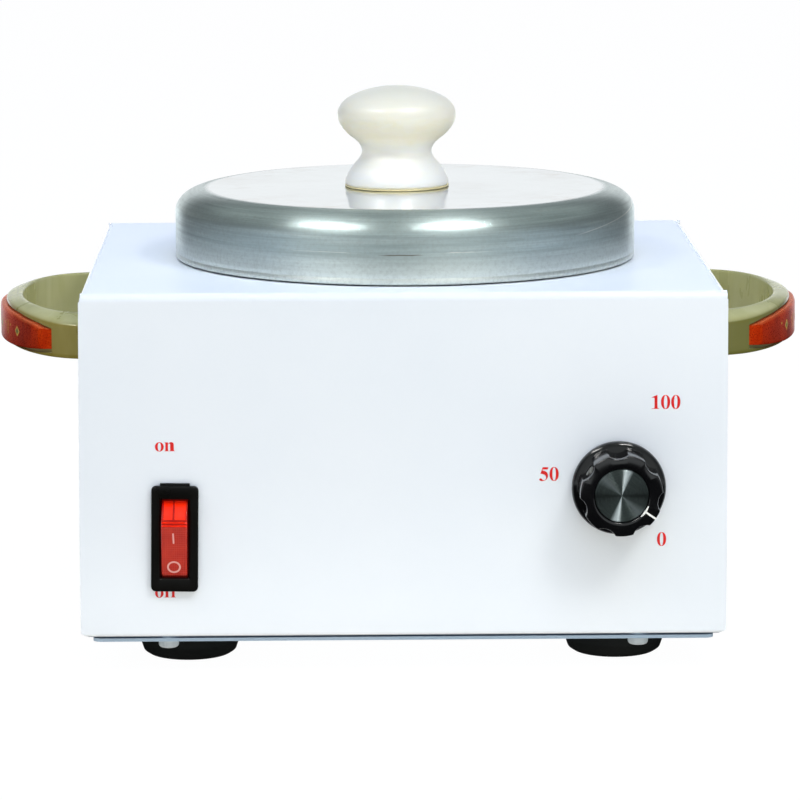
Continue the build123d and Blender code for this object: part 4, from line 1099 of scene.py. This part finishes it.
def make_control_knob():
    n = 7 * 56
    top = FYF - k0[1] - 0.03              # leaves room for the printed pointer
    rows = []                             # (r, z, fluted, inset from the flute's edge)
    plain = [(7.7, 0.7), (13.0, 0.6), (13.5, 0.72), (13.74, 0.95), (13.82, 1.25), (13.82, 1.9), (13.74, 2.45), (13.5, 2.95), (13.12, 3.3), (12.7, 3.52),
             (12.45, 3.62)]
    for r, z in plain:
        rows.append([(r, z)] * n)
    A = [POINTER + 2 * math.pi * (i + 0.5) / n for i in range(n)]
    fl = [knob_flute(a) for a in A]
    rows.append([(min(12.32, f_), 3.78) for f_ in fl])
    for r, z, e in ((12.22, 4.4, 0.0), (12.16, 8.0, 0), (12.08, 11.5, 0), (12.04, top - 0.5, 0), (11.98, top - 0.28, 0.05), (11.88, top - 0.11, 0.14),
                    (11.74, top - 0.02, 0.26), (11.58, top, 0.4)):
        rows.append([(min(r, f_ - e), z) for f_ in fl])
    rows.append([(9.0, top)] * n)
    for r, z in ((8.35, top), (8.22, top - 0.03), (8.08, top - 0.12), (7.98, top - 0.28), (7.92, top - 0.5), (7.9, top - 1.0), (0.4, top - 1.0)):
        rows.append([(r, z)] * n)
    loops = [[on_knob(r, a, z) for (r, z), a in zip(row, A)] for row in rows]
    v, f = loops_data(loops, True, True)
    ob = new_mesh("heat_knob", v, f, M_BLACK, "knob_body", replaces=("control_knob",), slot="black_plastic", sharp=33)
    recalc(ob)
    # spun disc
    zt = FYF - n0[1]
    prof = [(7.80, zt - 0.72), (7.80, zt - 0.22), (7.72, zt - 0.08), (7.58, zt)]
    r = 7.4
    while r > 0.9:
        prof += [(r, zt - 0.004), (r - 0.10, zt - 0.012), (r - 0.22, zt - 0.004)]
        r -= 0.42
    prof += [(0.55, zt), (0.4, zt - 0.02), (0.2, zt - 0.035), (0.0, zt - 0.04)]
    lv, lf, lt = lathe_data([(0.0, zt - 0.72)] + prof, 256, 0, 0, None, 6.0)
    lv = [(KX + p[0], FYF - p[2], KZ + p[1]) for p in lv]
    disc = new_mesh("heat_knob_disc", lv, lf, M_SPUN, "knob_body", replaces=("knob_insert",), slot="spun_aluminium", turn=lt, sharp=35)
    recalc(disc)
    # white pointer: a line on the black ring and a short cross bar on the disc's edge
    ca, sa = math.cos(POINTER), math.sin(POINTER)

    def loc(u, w_, z):                    # u along the pointer, w_ across
        return (KX + u * ca - w_ * sa, FYF - z, KZ + u * sa + w_ * ca)

    parts = []
    line = [(8.15, top + 0.02), (9.4, top + 0.025), (11.3, top + 0.025), (11.62, top + 0.02), (11.80, top - 0.02), (11.95, top - 0.15), (12.06, top - 0.5), (12.10, top - 1.6)]
    up = [[loc(u, w_, z) for w_ in (-0.29, -0.22, 0.22, 0.29)] for u, z in line]
    lo = [[loc(u - 0.12, w_, z - 0.12) for w_ in (-0.29, -0.22, 0.22, 0.29)] for u, z in line]
    V = [p for r_ in up for p in r_] + [p for r_ in lo for p in r_]
    F = []
    m = len(line)
    for a in range(m - 1):
        for b in range(3):
            F.append((a * 4 + b, a * 4 + b + 1, a * 4 + b + 5, a * 4 + b + 4))
            o = m * 4
            F.append((o + a * 4 + b, o + a * 4 + b + 4, o + a * 4 + b + 5, o + a * 4 + b + 1))
        F.append((a * 4, a * 4 + 4, m * 4 + a * 4 + 4, m * 4 + a * 4))
        F.append((a * 4 + 3, m * 4 + a * 4 + 3, m * 4 + a * 4 + 7, a * 4 + 7))
    F.append((0, m * 4, m * 4 + 1, 1)); F.append((1, m * 4 + 1, m * 4 + 2, 2)); F.append((2, m * 4 + 2, m * 4 + 3, 3))
    e = (m - 1) * 4
    for b in range(3):
        F.append((e + b, e + b + 1, m * 4 + e + b + 1, m * 4 + e + b))
    parts.append((V, F))
    bar = []
    for w_ in np.linspace(-1.9, 1.9, 11):
        k = 0.30 * (1 - 0.55 * (abs(w_) / 1.9) ** 1.5)
        uc = math.sqrt(8.3 ** 2 - w_ * w_)                 # follows the seat's edge
        bar.append([loc(uc - k, w_, top + 0.02), loc(uc + k, w_, top + 0.025), loc(uc + k, w_, top - 0.1), loc(uc - k, w_, top - 0.32)])
    parts.append(loops_data(bar, True, True))
    v, f = merge(parts)
    recalc(new_mesh("heat_knob_pointer", v, f, M_WHITE, "knob_body", slot="black_plastic", smooth=False))
    return ob


heat_knob = make_control_knob()


# -------------------------------------------------------------------- switch
LEAN = math.radians(0.9)                  # the switch sits slightly askew in its cut-out


def askew(p, grow=False):
    x, z = p[0] - SX, p[2] - SZ
    if grow:
        z = z * 1.022 - 0.06
    return (SX + x * math.cos(LEAN) + z * math.sin(LEAN), p[1], SZ - x * math.sin(LEAN) + z * math.cos(LEAN))


def rrect(w, h, r, y, cx=SX, cz=SZ, n=6):
    pts = []
    for qx, qz, a0 in ((1, 1, 0), (-1, 1, 90), (-1, -1, 180), (1, -1, 270)):
        for k in range(n + 1):
            a = math.radians(a0 + 90 * k / n)
            pts.append((cx + qx * (w / 2 - r) + r * math.cos(a), y, cz + qz * (h / 2 - r) + r * math.sin(a)))
    return pts


def make_switch():
    by = BEZEL_Y
    loops = [rrect(10.6, 27.8, 0.5, FYF + 20.0), rrect(10.8, 28.0, 0.5, FYF + 19.8), rrect(10.8, 28.0, 0.5, FYF - 0.02),
             rrect(13.4, 30.4, 1.1, FYF - 0.02), rrect(13.75, 30.75, 1.3, FYF - 0.2), rrect(13.8, 30.8, 1.35, FYF - 0.5),
             rrect(13.8, 30.8, 1.4, by + 0.62), rrect(13.7, 30.7, 1.45, by + 0.34), rrect(13.4, 30.4, 1.5, by + 0.12), rrect(12.9, 29.9, 1.4, by + 0.02),
             rrect(12.2, 29.2, 1.2, by), rrect(9.2, 23.8, 0.75, by), rrect(9.05, 23.65, 0.7, by + 0.02), rrect(8.55, 23.15, 0.5, by + 0.36),
             rrect(8.42, 23.02, 0.42, by + 0.5), rrect(8.34, 22.94, 0.4, by + 0.7), rrect(8.3, 22.9, 0.4, by + 1.5), rrect(8.3, 26.3, 0.4, by + 1.55), rrect(8.3, 26.3, 0.4, FYF + 18.4)]
    parts = [loops_data(loops, True, True)]
    # locating tab on the bezel's top edge
    tl = []
    for x, e in ((-4.35, 0.12), (-4.2, 0.0), (4.2, 0.0), (4.35, 0.12)):
        tl.append([(SX + x, FYF - 0.05, SZ + 15.2), (SX + x, FYF - 1.0 + e, SZ + 15.2), (SX + x, FYF - 1.0 + e, SZ + 15.95 - e),
                   (SX + x, FYF - 0.85 + e, SZ + 16.1 - e), (SX + x, FYF - 0.05, SZ + 16.1 - e)])
    parts.append(loops_data(tl, True, True))
    # snap lugs behind the panel
    for s_ in (-1, 1):
        za = SZ + s_ * 14.0
        lg = [[(SX + x, FYF + 1.0, za - s_ * 0.3), (SX + x, FYF + 1.0, za + s_ * 1.2), (SX + x, FYF + 7.0, za), (SX + x, FYF + 7.0, za - s_ * 0.3)] for x in (-3.0, 3.0)]
        parts.append(loops_data(lg, True, True))
    v, f = merge(parts)
    v = [askew(q, q[1] < FYF - 0.01) for q in v]
    return recalc(new_mesh("switch_frame", v, f, M_BEZEL, "casing", replaces=("switch_housing",), slot="switch_black", sharp=40))


switch = make_switch()
TILT = math.radians(19.05)


def on_rocker(x, u, v):
    y, z = -u, v
    return askew((SX + x, HGY + y * math.cos(TILT) - z * math.sin(TILT), SZ + y * math.sin(TILT) + z * math.cos(TILT)))


def make_rocker():
    R, HALF = 12.77, 38.25
    CH = R * math.cos(math.radians(HALF))
    # outline stations: (kind, value, feature)
    st = [("b", -1.0), ("b", 1.0)]
    arc_lo = [("a", -q) for q in np.linspace(97, HALF + 0.001, 16)]
    chord = [("c", q) for q in np.linspace(-1, 1, 24)[1:-1]]
    top_a = [HALF + 0.001, 39.0, 39.6, 39.9, 40.3, 41.1, 41.5, 42.2, 43.6, 44.2, 44.6, 45.4, 45.8, 46.6, 48.4, 49.6, 49.75, 52, 56, 60, 64, 68, 72, 76, 79.8, 79.95, 82, 86, 90, 94, 97]
    arc_hi = [("a", q) for q in top_a]
    line = arc_lo + chord + arc_hi

    def feature(kind, q, x):
        """Radial change at a station."""
        if kind != "a" or q < 0:
            return 0.0
        e = 0.0
        if 39.7 < q < 41.9 or 44.1 < q < 46.3:
            e = 0.20 if (39.95 <= q <= 41.3 or 44.4 <= q <= 45.6) else 0.12
            if abs(x) > 3.38:
                e = 0.0
        if 49.7 <= q <= 79.9 and (-3.2 <= x <= -0.52 or 0.06 <= x <= 3.24):
            e = -0.42
        return e

    xs = [(-3.82, 0.42), (-3.76, 0.25), (-3.66, 0.11), (-3.55, 0.02), (-3.44, 0.0), (-3.36, 0), (-3.22, 0), (-3.19, 0), (-2.4, 0), (-1.4, 0), (-0.53, 0), (-0.50, 0),
          (-0.22, 0), (0.04, 0), (0.07, 0), (1.0, 0), (2.2, 0), (3.23, 0), (3.26, 0), (3.36, 0), (3.44, 0.0), (3.55, 0.02), (3.64, 0.09), (3.70, 0.2), (3.72, 0.34)]
    loops, uvs = [], []
    for x, e in xs:
        lp = []
        for kind, q in line:
            if kind == "c":
                u, v = CH - e, R * math.sin(math.radians(HALF)) * q
                s_ = R * math.sin(math.radians(HALF)) * (q + 1)
            else:
                r = R - e + feature(kind, q, x)
                a = math.radians(q)
                u, v = r * math.cos(a), r * math.sin(a)
                if abs(q) < HALF + 0.01:
                    u = CH - e
                s_ = (R * (a - math.radians(HALF)) + 15.81) if q > 0 else R * (a + math.radians(HALF))
            lp.append(on_rocker(x, u, v))
            uvs.append((x, s_))
        lp.append(on_rocker(x, -2.2, R * 0.99 - e))
        uvs.append((x, 31))
        lp.append(on_rocker(x, -2.2, -R * 0.99 + e))
        uvs.append((x, -20))
        loops.append(lp)
    v, f = loops_data(loops, True, True)
    ob = new_mesh("switch_rocker_body", v, f, M_ROCKER, "rocker_body", replaces=("switch_rocker",), slot="rocker_red", sharp=28, uvs=uvs)
    recalc(ob)
    # printed marks
    parts = []
    u0 = CH + 0.035

    def slab(loop2):
        return loops_data([[on_rocker(x, u0, v_) for x, v_ in loop2], [on_rocker(x, u0 - 0.07, v_) for x, v_ in loop2]], True, True)

    # "I": a slightly slanted stroke with round ends
    sx_, sv, hl, hw = -0.30, 4.4, 1.76, 0.23
    lp = []
    for k in range(9):
        a = math.pi * k / 8
        lp.append((sx_ + hw * math.cos(a) - 0.03, sv + hl - hw + hw * math.sin(a)))
    for k in range(9):
        a = math.pi + math.pi * k / 8
        lp.append((sx_ + hw * math.cos(a) + 0.10, sv - hl + hw + hw * math.sin(a)))
    parts.append(slab(lp))
    n = 48
    rings = []
    for r, u in ((2.02, u0 - 0.07), (2.02, u0 - 0.01), (1.98, u0), (1.54, u0), (1.50, u0 - 0.01), (1.50, u0 - 0.07)):
        rings.append([on_rocker(-0.15 + r * math.cos(2 * math.pi * i / n), u, -5.3 + r * 0.98 * math.sin(2 * math.pi * i / n)) for i in range(n)])
    parts.append(loops_data(rings, closed=True))
    v, f = merge(parts)
    recalc(new_mesh("switch_rocker_marks", v, f, M_MARK, "rocker_body", slot="rocker_red", smooth=False))
    return ob


rocker = make_rocker()


# ------------------------------------------------------------ printed labels
def bez(p0_, p1_, p2_, p3_, n=8):
    out = []
    for k in range(1, n + 1):
        t = k / n
        q = 1 - t
        out.append((q ** 3 * p0_[0] + 3 * q * q * t * p1_[0] + 3 * q * t * t * p2_[0] + t ** 3 * p3_[0],
                    q ** 3 * p0_[1] + 3 * q * q * t * p1_[1] + 3 * q * t * t * p2_[1] + t ** 3 * p3_[1]))
    return out


def oval(cx, cy, a, b, n=40, p=2.0):
    out = []
    for k in range(n):
        t = 2 * math.pi * k / n
        c, s_ = math.cos(t), math.sin(t)
        out.append((cx + a * math.copysign(abs(c) ** (2 / p), c), cy + b * math.copysign(abs(s_) ** (2 / p), s_)))
    return out


def glyph(ch):
    """(advance, loops) in thousandths of an em: heavy upright letters with bracketed serifs."""
    if ch == "0":
        return 500, [oval(250, 337, 226, 351, 44, 2.15), oval(250, 337, 84, 322, 36, 2.3)]
    if ch == "o":
        return 500, [oval(250, 230, 226, 244, 40, 2.05), oval(250, 230, 84, 212, 32, 2.2)]
    if ch == "1":
        return 500, [[(62, 0), (442, 0), (442, 20), (392, 25), (362, 40), (352, 70), (350, 110), (350, 688), (326, 688), (62, 572), (66, 550),
                      (110, 562), (160, 566), (190, 552), (203, 520), (206, 470), (206, 110), (203, 66), (190, 38), (160, 25), (62, 20)]]
    if ch == "5":
        p = [(470, 676), (438, 568), (186, 568), (167, 516)]
        p += bez(p[-1], (317, 505), (449, 425), (449, 255), 9)
        p += bez((449, 255), (449, 94), (320, -14), (162, -14), 9)
        p += bez((162, -14), (89, -14), (22, 15), (22, 62), 6)
        p += bez((22, 62), (22, 97), (47, 120), (82, 120), 6)
        p += bez((82, 120), (125, 120), (148, 92), (172, 64), 5)
        p += bez((172, 64), (190, 44), (205, 28), (236, 28), 4)
        p += bez((236, 28), (310, 28), (352, 85), (352, 165), 7)
        p += bez((352, 165), (352, 270), (250, 345), (78, 352), 8)
        p += [(185, 676)]
        return 500, [p]
    if ch == "n":
        return 556, [[(21, 0), (236, 0), (236, 18), (205, 26), (196, 48), (194, 90), (194, 345), (216, 378), (246, 398), (276, 400), (298, 382),
                      (305, 345), (306, 90), (303, 45), (292, 26), (266, 18), (266, 0), (538, 0), (538, 18), (505, 27), (494, 48), (491, 90), (491, 330),
                      (484, 395), (458, 440), (410, 468), (350, 473), (290, 462), (240, 430), (194, 385), (194, 461), (16, 461), (16, 442), (45, 434),
                      (56, 415), (58, 380), (58, 90), (55, 46), (44, 27), (21, 18)]]
    return 333, [[(14, 0), (280, 0), (280, 18), (238, 26), (224, 46), (220, 90), (220, 415), (308, 415), (308, 461), (220, 461), (220, 560), (222, 610),
                  (232, 645), (250, 658), (266, 652), (270, 635), (262, 610), (270, 585), (295, 568), (330, 566), (362, 580), (380, 608), (375, 645),
                  (350, 672), (310, 688), (255, 691), (190, 682), (135, 652), (98, 605), (84, 545), (80, 461), (16, 461), (16, 415), (80, 415), (80, 90),
                  (76, 44), (60, 26), (14, 18)]]


def label(text, x, z, em):
    """Filled outlines centred on the ink box at x, z on the front panel."""
    loops, adv = [], 0.0
    for ch in text:
        w_, ls = glyph(ch)
        loops += [[(adv + a, b) for a, b in lp] for lp in ls]
        adv += w_
    P = np.array([p for lp in loops for p in lp])
    mid = (P.min(0) + P.max(0)) / 2
    cu = bpy.data.curves.new("t", "CURVE")
    cu.dimensions = "2D"
    cu.fill_mode = "BOTH"
    for lp in loops:
        sp = cu.splines.new("POLY")
        sp.points.add(len(lp) - 1)
        for i, (a, b) in enumerate(lp):
            sp.points[i].co = ((a - mid[0]) * em / 1000, (b - mid[1]) * em / 1000, 0, 1)
        sp.use_cyclic_u = True
    cu.extrude = 0.02
    ob = bpy.data.objects.new("t", cu)
    scene.collection.objects.link(ob)
    dg = bpy.context.evaluated_depsgraph_get()
    dg.update()
    me = bpy.data.meshes.new_from_object(ob.evaluated_get(dg))
    V = [(x + v.co.x, FYF - 0.012 - v.co.z, z + v.co.y) for v in me.vertices]
    F = [tuple(p.vertices) for p in me.polygons]
    bpy.data.objects.remove(ob)
    bpy.data.curves.remove(cu)
    bpy.data.meshes.remove(me)
    return V, F


def make_labels():
    z0 = ZB                                # panel heights are counted from the casing's bottom edge
    parts = [label("0", CX + 75.76, z0 + 28.55, 5.95), label("50", CX + 42.62, z0 + 48.19, 5.95), label("100", CX + 76.77, z0 + 69.37, 5.95),
             label("on", CX - 69.7, z0 + 56.97, 5.68), label("off", CX - 69.8, z0 + 13.9, 5.6)]
    v, f = merge(parts)
    ob = new_mesh("panel_marks", v, f, M_INK, "casing", slot="white_paint", smooth=False)
    bm = bmesh.new()
    bm.from_mesh(ob.data)
    bmesh.ops.remove_doubles(bm, verts=bm.verts, dist=1e-7)
    bmesh.ops.recalc_face_normals(bm, faces=bm.faces)
    bm.to_mesh(ob.data)
    bm.free()
    return ob


make_labels()

# ------------------------------------------- CAD pieces kept, with materials
M_INLET = plastic("inlet_black_mat", (0.012, 0.012, 0.012), (0.018, 0.018, 0.017), 0.38, 1800, 0.2)
M_PLATE_D = M_PLATE
slot_mat = {
    "white_paint": M_PAINT, "white_paint_plate": M_PLATE, "black_rubber": M_RUBBER, "zinc_steel": M_ZINC, "olive_plastic": M_OLIVE,
    "copper_red": M_COPPER, "well_aluminium": M_WELL, "band_steel": M_STEEL, "ceramic_white": M_CERAMIC, "glass_wool": M_WOOL,
    "black_phenolic": M_PHENOL, "pot_aluminium": M_POT, "lid_aluminium": M_LID, "pearl_plastic": M_PEARL, "brass_trim": M_BRASS,
    "black_plastic": M_BLACK, "spun_aluminium": M_SPUN, "tinned_brass": M_TIN, "circuit_board": M_BOARD, "film_yellow": M_FILM,
    "switch_black": M_BEZEL, "lamp_glass": M_LAMP, "rocker_red": M_ROCKER, "inlet_black": M_INLET, "wire_brown": M_WIRE_L, "wire_green": M_WIRE_E,
}
bevels = {"bottom_plate": 0.12, "power_inlet": 0.35, "heat_sink": 0.2, "triac": 0.25, "regulator_board": 0.1, "heater_terminal": 0.3,
          "well_bridge": 0.15, "thermal_cutout": 0.3, "inlet_pins": 0.3, "switch_terminals": 0.12, "regulator_body": 0.3, "plate_screws": 0.12,
          "inlet_screws": 0.12, "handle_screws": 0.12, "foot_screws": 0.12, "band_nut": 0.12, "plate_nuts": 0.12, "foot_nuts": 0.12, "inlet_nuts": 0.12,
          "bridge_nuts": 0.12, "earth_nut": 0.12, "regulator_nut": 0.15}
for sp in frame["record"]["subparts"]:
    ob = frame["nodes"][sp["node"]]
    if ob.get("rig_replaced") or ob.hide_render:
        continue
    m = M_PALE if sp["node"] == "plate_screws" else slot_mat[sp["material_slot"]]
    if not ob.data.materials:
        ob.data.materials.append(m)
    for s in ob.material_slots:
        s.material = m
    if sp["node"] in bevels:
        edge_bevel(ob, bevels[sp["node"]], 2, 40)
        weighted(ob)

# ------------------------------------------------------- floor, light, camera
fv, ff = [], []
N = 24
for i in range(N + 1):
    for j in range(N + 1):
        fv.append((-4000 + 8000 * i / N, -3000 + 8000 * j / N, 0.0))
for i in range(N):
    for j in range(N):
        a = i * (N + 1) + j
        ff.append((a, a + N + 1, a + N + 2, a + 1))


def floor_material():
    """White to the eye. Gloss sees a studio: dark table near the object, a pale far floor that dims to the sides, white behind."""
    m = bpy.data.materials.new("floor_mat")
    m.use_nodes = True
    t = m.node_tree
    t.nodes.clear()
    N_ = lambda k: t.nodes.new("ShaderNode" + k)
    L = t.links.new
    out = N_("OutputMaterial")
    lp = N_("LightPath")
    tc = N_("TexCoord")
    # to the camera: overexposed sweep with a trace of shading
    e1 = N_("Emission")
    e1.inputs["Strength"].default_value = 1.03
    df = N_("BsdfDiffuse")
    nz = N_("TexNoise")
    nz.inputs["Scale"].default_value = 9
    L(tc.outputs["Object"], nz.inputs["Vector"])
    rp = N_("ValToRGB")
    rp.color_ramp.elements[0].color = (0.80, 0.81, 0.82, 1)
    rp.color_ramp.elements[1].color = (0.86, 0.87, 0.88, 1)
    L(nz.outputs["Fac"], rp.inputs["Fac"])
    L(rp.outputs["Color"], df.inputs["Color"])
    cam_mix = N_("MixShader")
    cam_mix.inputs[0].default_value = 0.05
    L(e1.outputs[0], cam_mix.inputs[1])
    L(df.outputs[0], cam_mix.inputs[2])
    # to gloss: by direction and distance from the object
    sx = N_("SeparateXYZ")
    L(tc.outputs["Object"], sx.inputs[0])
    neg = N_("Math"); neg.operation = "MULTIPLY"; neg.inputs[1].default_value = -1.0
    L(sx.outputs[1], neg.inputs[0])
    at = N_("Math"); at.operation = "ARCTAN2"
    L(sx.outputs[0], at.inputs[0]); L(neg.outputs[0], at.inputs[1])
    ab = N_("Math"); ab.operation = "ABSOLUTE"
    L(at.outputs[0], ab.inputs[0])
    sc = N_("Math"); sc.operation = "DIVIDE"; sc.inputs[1].default_value = math.pi
    L(ab.outputs[0], sc.inputs[0])
    az = N_("ValToRGB")
    stops = FLOOR_AZ
    el = az.color_ramp.elements
    while len(el) > 1:
        el.remove(el[-1])
    el[0].position, el[0].color = stops[0][0] / 180.0, (stops[0][1] * 0.94, stops[0][1], stops[0][1] * 1.02, 1)
    for p, v_ in stops[1:]:
        q = el.new(p / 180.0)
        q.color = (v_ * 0.94, v_, v_ * 1.02, 1)
    L(sc.outputs[0], az.inputs["Fac"])
    ln = N_("VectorMath"); ln.operation = "LENGTH"
    L(tc.outputs["Object"], ln.inputs[0])
    near = N_("MapRange"); near.interpolation_type = "SMOOTHSTEP"
    for k, v_ in {"From Min": 0.52, "From Max": 0.66, "To Min": 0.04, "To Max": 1.8}.items():
        near.inputs[k].default_value = v_
    L(ln.outputs["Value"], near.inputs["Value"])
    e2 = N_("Emission")
    L(az.outputs["Color"], e2.inputs["Color"])
    L(near.outputs["Result"], e2.inputs["Strength"])
    # to diffuse: a plain bounce
    e3 = N_("Emission")
    e3.inputs["Color"].default_value = (1.0, 0.985, 0.93, 1)
    e3.inputs["Strength"].default_value = FLOOR_DIFFUSE
    m1, m2 = N_("MixShader"), N_("MixShader")
    L(lp.outputs["Is Glossy Ray"], m1.inputs[0])
    L(e3.outputs[0], m1.inputs[1]); L(e2.outputs[0], m1.inputs[2])
    L(lp.outputs["Is Camera Ray"], m2.inputs[0])
    L(m1.outputs[0], m2.inputs[1]); L(cam_mix.outputs[0], m2.inputs[2])
    L(m2.outputs[0], out.inputs[0])
    return m


FLOOR_AZ = [(0, 0.70), (50, 0.58), (85, 0.31), (115, 0.155), (138, 0.10), (146, 0.16), (153, 0.90), (165, 1.0), (180, 1.0)]
FLOOR_DIFFUSE = 0.72
floor = new_mesh("floor", fv, ff, floor_material(), None)


def make_world():
    world = bpy.data.worlds.new("studio")
    scene.world = world
    world.use_nodes = True
    t = world.node_tree
    t.nodes.clear()
    N_ = lambda k: t.nodes.new("ShaderNode" + k)
    L = t.links.new
    out = N_("OutputWorld")
    lp = N_("LightPath")
    tc = N_("TexCoord")
    sx = N_("SeparateXYZ")
    L(tc.outputs["Generated"], sx.inputs[0])

    def step(sock, a, b):
        mr = N_("MapRange")
        mr.interpolation_type = "SMOOTHSTEP"
        for k, v_ in {"From Min": a, "From Max": b, "To Min": 0.0, "To Max": 1.0}.items():
            mr.inputs[k].default_value = v_
        L(sock, mr.inputs["Value"])
        return mr.outputs["Result"]

    def mix(fac, a, b):
        mx = N_("Mix")
        mx.data_type = "RGBA"
        L(fac, mx.inputs[0])
        for v_, i in ((a, 6), (b, 7)):
            if isinstance(v_, tuple):
                mx.inputs[i].default_value = v_
            else:
                L(v_, mx.inputs[i])
        return mx.outputs[2]

    wide = N_("Math")                                      # the white wall behind reaches further to the sides than up
    wide.operation = "POWER"
    L(sx.outputs[0], wide.inputs[0])
    wide.inputs[1].default_value = 2.0
    back = N_("Math")
    back.operation = "MULTIPLY_ADD"
    L(wide.outputs[0], back.inputs[0])
    back.inputs[1].default_value = 0.35
    L(sx.outputs[1], back.inputs[2])
    behind = step(back.outputs[0], 0.935, 0.978)
    high = step(sx.outputs[2], 0.42, 0.62)
    neg = N_("Math")
    neg.operation = "MULTIPLY"
    neg.inputs[1].default_value = -1.0
    L(sx.outputs[1], neg.inputs[0])
    low = mix(step(neg.outputs[0], 0.25, 0.85), (0.22, 0.235, 0.24, 1), (0.72, 0.77, 0.77, 1))
    low = mix(behind, low, (1.02, 1.05, 1.06, 1))
    gloss = mix(high, low, (0.46, 0.50, 0.49, 1))
    b_cam, b_gl, b_df = N_("Background"), N_("Background"), N_("Background")
    b_cam.inputs["Color"].default_value = (1, 1, 1, 1)
    b_cam.inputs["Strength"].default_value = 1.03
    L(gloss, b_gl.inputs["Color"])
    up = step(sx.outputs[2], -0.1, 0.8)
    L(mix(up, (0.26, 0.285, 0.32, 1), (0.24, 0.30, 0.44, 1)), b_df.inputs["Color"])
    m1, m2 = N_("MixShader"), N_("MixShader")
    L(lp.outputs["Is Glossy Ray"], m1.inputs[0])
    L(b_df.outputs[0], m1.inputs[1]); L(b_gl.outputs[0], m1.inputs[2])
    L(lp.outputs["Is Camera Ray"], m2.inputs[0])
    L(m1.outputs[0], m2.inputs[1]); L(b_cam.outputs[0], m2.inputs[2])
    L(m2.outputs[0], out.inputs[0])


make_world()


def area(name, az, el, dist, size, power, colour=(1, 1, 1), glossy=True, target=(0, 0, 70), diffuse=True, loc=None):
    """az from the front (-Y), positive to +X; el above the horizon, degrees; mm."""
    a, e_ = math.radians(az), math.radians(el)
    d = Vector((math.sin(a) * math.cos(e_), -math.cos(a) * math.cos(e_), math.sin(e_)))
    li = bpy.data.lights.new(name, "AREA")
    li.shape = "RECTANGLE"
    li.size, li.size_y = size[0] * MM, size[1] * MM
    li.energy = power
    li.color = colour
    ob = bpy.data.objects.new(name, li)
    scene.collection.objects.link(ob)
    ob.location = Vector(target) * MM + d * dist * MM
    ob.rotation_euler = (-d).to_track_quat("-Z", "Y").to_euler()
    ob.visible_camera = False
    ob.visible_glossy = glossy
    ob.visible_diffuse = diffuse
    return ob


area("key_right", 38, 46, 1200, (330, 330), 4.1, (1.0, 0.99, 0.97), glossy=False)
area("key_left", -60, 47, 1200, (260, 220), 2.0, (1.0, 0.99, 0.97), glossy=False)
area("shine_right", 33, 60, 1200, (400, 100), 7.0, (1.0, 0.99, 0.97), diffuse=False)
area("shine_left", -52, 53, 1200, (540, 95), 5.8, (1.0, 0.99, 0.97), diffuse=False)
area("soft_over", 0, 88, 2100, (1500, 1300), 7.4, (0.80, 0.95, 1.27), glossy=False)
area("soft_top", 6, 62, 2100, (1500, 900), 10.3, (0.88, 0.965, 1.09), glossy=False)
area("fill_front", 2, 14, 2200, (1500, 1100), 4.7, (1.0, 0.985, 0.90), glossy=False)
area("low_front", 0, -42, 58, (230, 14), 0.034, (1.0, 0.99, 0.95), glossy=False, target=(0, FYF, 38))
area("right_front", 35, 6, 170, (20, 110), 0.016, (1.0, 0.99, 0.96), glossy=False, target=(86, FYF, 52))

cam = bpy.data.cameras.new("cam")
cam_ob = bpy.data.objects.new("cam", cam)
scene.collection.objects.link(cam_ob)
scene.camera = cam_ob
cam.sensor_width = 36.0
cam.sensor_fit = "HORIZONTAL"
cam.lens = 188.2
cam.clip_start, cam.clip_end = 0.05, 50.0
yaw, pitch, roll = (math.radians(v) for v in (0.983, 9.607, -0.176))
fwd = Vector((math.sin(yaw) * math.cos(pitch), math.cos(yaw) * math.cos(pitch), -math.sin(pitch)))
right = Vector((math.cos(yaw), -math.sin(yaw), 0.0))
up_ = right.cross(fwd)
r2 = right * math.cos(roll) + up_ * math.sin(roll)
u2 = -right * math.sin(roll) + up_ * math.cos(roll)
rot = Matrix((r2, u2, -fwd)).transposed()
cam_ob.matrix_world = Matrix.Translation(Vector((-21.6, -1281.2, 285.4)) * MM) @ rot.to_4x4()

scene.view_settings.view_transform = "Standard"
scene.view_settings.look = "None"
scene.view_settings.exposure = 0.0
scene.view_settings.gamma = 1.0
